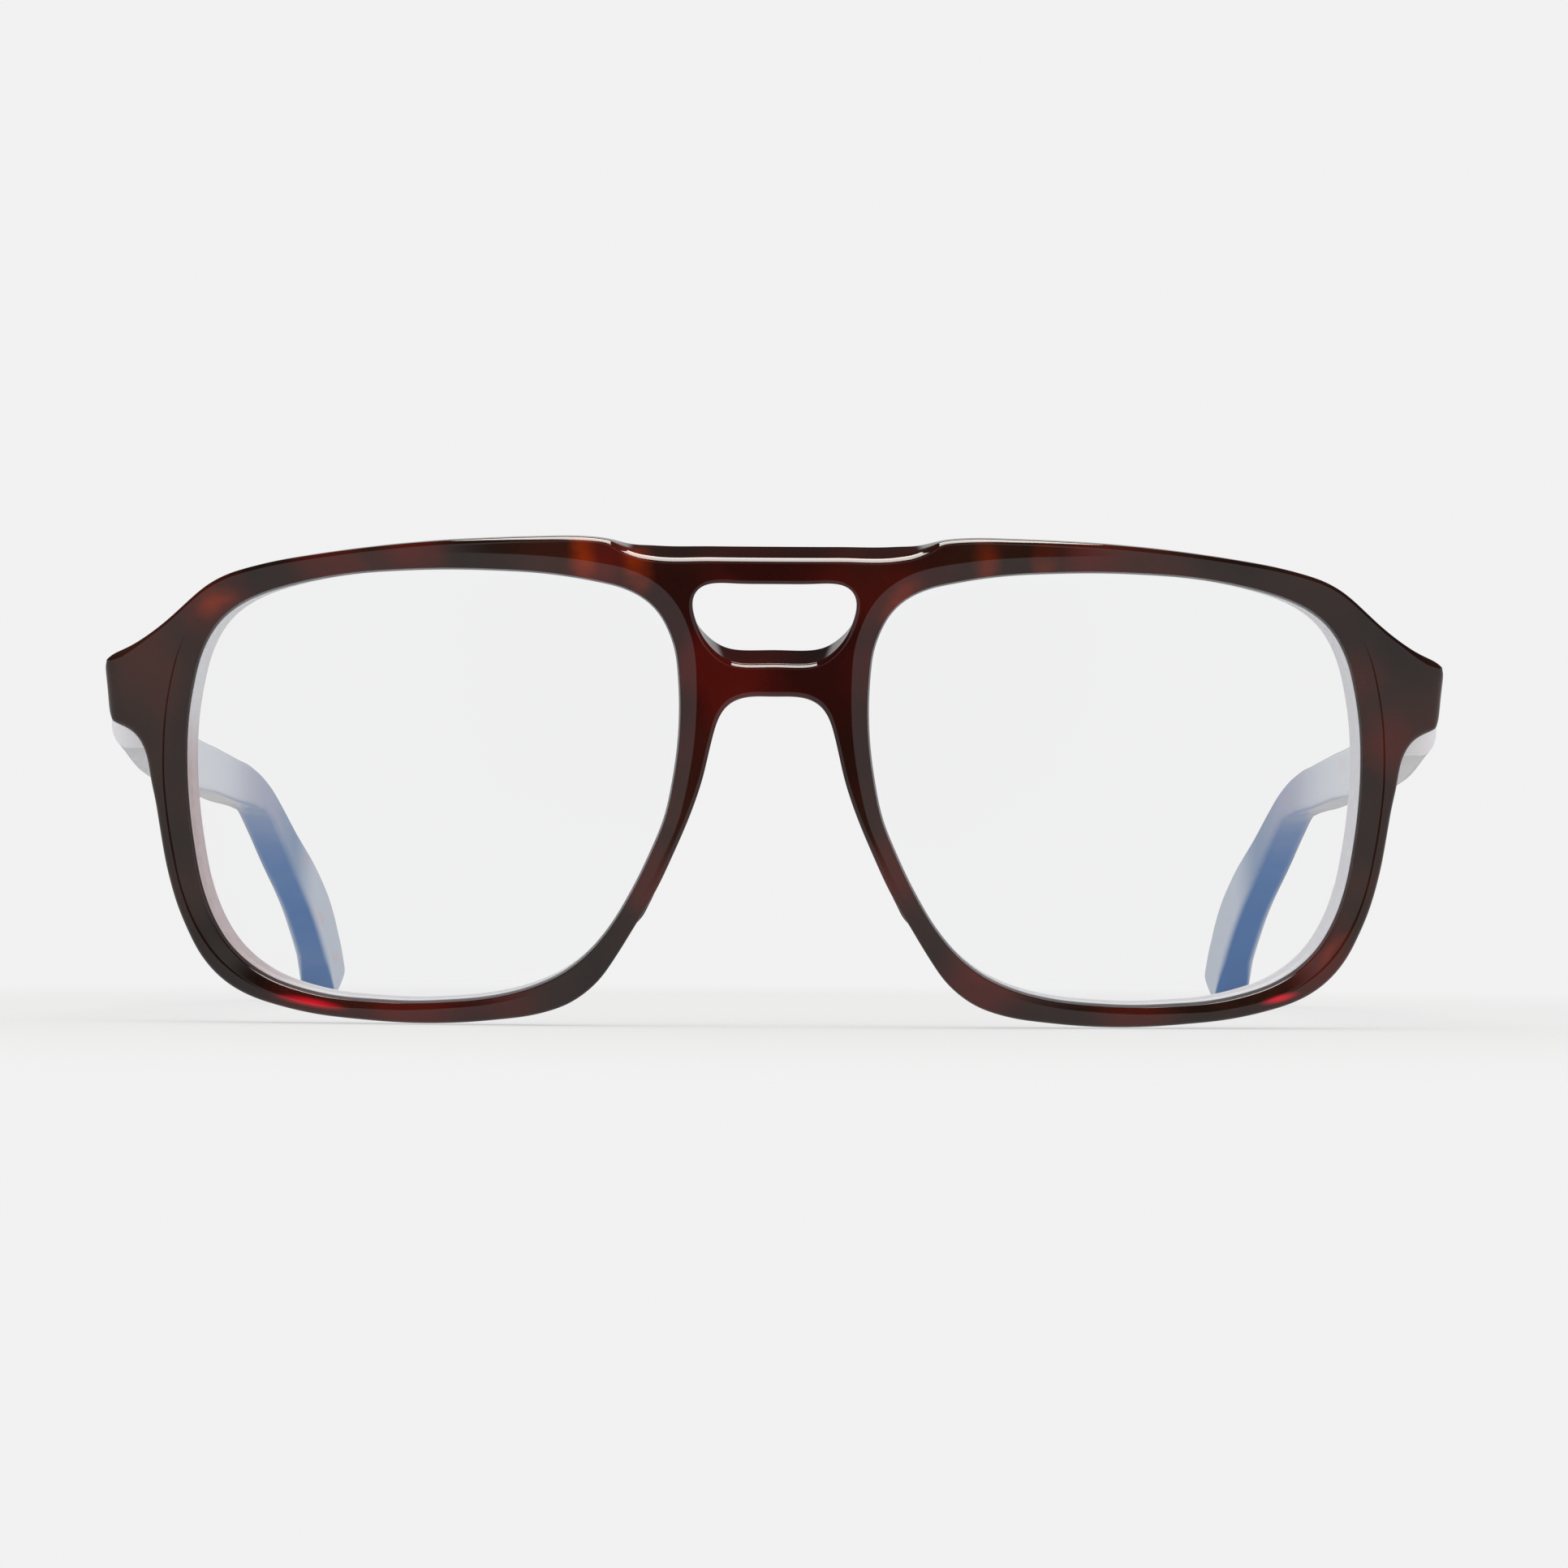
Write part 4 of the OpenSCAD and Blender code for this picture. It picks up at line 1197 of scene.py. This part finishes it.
for side, word in SIDES:
    hand_over(worn(front_leaf(side)), "front_hinge_leaf_" + word, "front_assembly",
              "hinge_steel", hinge_steel, "front_hinge_" + word)
    hand_over(worn(temple_leaf(side)), "temple_hinge_leaf_" + word, word + "_temple",
              "hinge_steel", hinge_steel, "temple_hinge_" + word)
    hand_over(worn(slotted_screw(side)), "hinge_screw_slotted_" + word, "front_assembly",
              "screw_steel", screw_steel, "hinge_screw_" + word)
    core = frame["nodes"]["temple_core_" + word]
    core.data.materials.clear()
    core.data.materials.append(core_steel)

# Floor, light and camera

# Greys of the room's plain light, of the floor and of the pale background
ROOM = 0.74
FLOOR_TONE = 0.84
PALE = 0.885
# Floor, in metres: its radius and height, where it turns into the background and where it
# fades away, and the share of the background that it has near the object
FLOOR_R = 0.6
FLOOR_LOW = -0.0001
TO_BACKGROUND = (0.1, 0.22)
TO_NOTHING = (0.3, 0.58)
NEAR_SHARE = 0.6
# The room that gloss shows: how bright and how dark it is, and where it passes from the
# dark place in front to the bright sides, and from these to the dark ceiling, as distances
# on a sphere of radius 1
GLOSS_BRIGHT = 0.45
GLOSS_DARK = 0.97
TO_SIDES = (0.26, 0.35)
TO_CEILING = (0.34, 0.48)
# Lamps: name, place and aim in metres, size, watts, and whether only gloss shows it
LAMP_TINT = (1, 0.95, 0.89)
LAMPS = [
    ("overhead_soft", (0, -0.14, 0.6), (0, 0, 0), (0.4, 0.2), 0.9, False),
    ("overhead_gloss", (0, -0.2, 0.6), (0, -0.2, 0), (0.31, 0.8), 6.5, True),
]
# Camera, in the front's own frame: what it aims at, its distance, how far up it stands,
# its roll and its angle of view
AIM = Vector((1.17, 0, 0))
VIEW_MM = 450
VIEW_UP = math.radians(5)
VIEW_ROLL = math.radians(0.35)
VIEW_ANGLE = math.radians(21.94)
CLIP_START = 0.01


def grey(tone):
    return (tone, tone, tone, 1)


def ray_kinds(p, *names):
    """Masks of the kinds of ray that meet a surface or the world."""
    kinds = p.node("ShaderNodeLightPath").socket.node.outputs
    return [Link(p, kinds[name]) for name in names]


def floor_material():
    """Matt where the object's shadow falls, and the pale background farther out. Gloss
    looks through it to the room."""
    p = paint("floor")
    distance = p.vector("DISTANCE", p.place(), (0.0, 0.0, 0.0))
    seen, glossy = ray_kinds(p, "Is Camera Ray", "Is Glossy Ray")
    pale_share = NEAR_SHARE + (1 - NEAR_SHARE) * distance.between(*TO_BACKGROUND)
    lit = p.node("ShaderNodeMixShader", values={
        0: seen * pale_share,
        1: p.shader("BsdfDiffuse", Color=grey(FLOOR_TONE)),
        2: p.shader("Emission", Color=grey(PALE))})
    return p.surface(p.node("ShaderNodeMixShader", values={
        0: distance.between(*TO_NOTHING).larger(glossy), 1: lit,
        2: p.shader("BsdfTransparent")}))


def studio():
    """The room that gloss shows: pale all round near the height of the table, with a dark
    place in front, where the photographer stands, and a dark ceiling."""
    p = Paint(bpy.data.worlds.new("studio"))
    seen, glossy, passed = ray_kinds(
        p, "Is Camera Ray", "Is Glossy Ray", "Is Transmission Ray")
    toward = p.vector("NORMALIZE", p.node("ShaderNodeTexCoord", out="Generated"))
    off_front = p.vector("DISTANCE", toward, (0.0, -1.0, 0.0))
    height = p.parts(toward)[2]
    bright = off_front.between(*TO_SIDES) * (1 - height.between(*TO_CEILING)) * GLOSS_BRIGHT
    dark = (1 - bright) * glossy
    pale = p.shader("Background", Color=grey(PALE), Strength=1 - dark * GLOSS_DARK)
    plain = p.shader("Background", Color=grey(ROOM))
    shown = seen.larger(glossy).larger(passed)
    return p.surface(p.node("ShaderNodeMixShader", values={0: shown, 1: plain, 2: pale}),
                     "World")


def lamp(name, place, aim, size, power, for_gloss):
    """A rectangular lamp that either lights the surfaces or shows in their gloss."""
    data = bpy.data.lights.new(name, "AREA")
    data.shape, data.energy, data.color = "RECTANGLE", power, LAMP_TINT
    data.size, data.size_y = size
    made = bpy.data.objects.new(name, data)
    bpy.context.scene.collection.objects.link(made)
    made.location = place
    made.rotation_euler = (Vector(aim) - Vector(place)).to_track_quat("-Z", "Y").to_euler()
    made.visible_camera = False
    made.visible_glossy, made.visible_diffuse = for_gloss, not for_gloss


def set_camera():
    """The photograph's view: from low in front of the leaning glasses."""
    camera = bpy.data.objects.new("camera", bpy.data.cameras.new("camera"))
    bpy.context.scene.collection.objects.link(camera)
    bpy.context.scene.camera = camera
    eye = TO_ROW @ (AIM + VIEW_MM * Vector((0, -math.cos(VIEW_UP), math.sin(VIEW_UP))))
    toward = (TO_ROW @ AIM - eye).to_track_quat("-Z", "Y").to_matrix()
    camera.location = eye
    camera.rotation_euler = (toward @ Matrix.Rotation(VIEW_ROLL, 3, "Z")).to_euler()
    camera.data.angle = VIEW_ANGLE
    camera.data.clip_start = CLIP_START


bpy.ops.object.select_all(action="DESELECT")
bpy.ops.mesh.primitive_circle_add(vertices=96, radius=FLOOR_R, fill_type="NGON",
                                  location=(0, 0, FLOOR_LOW))
floor = bpy.context.object
floor.name = "floor"
floor.data.materials.append(floor_material())

bpy.context.scene.world = studio()
for settings in LAMPS:
    lamp(*settings)
set_camera()

bpy.context.scene.view_settings.view_transform = "Standard"
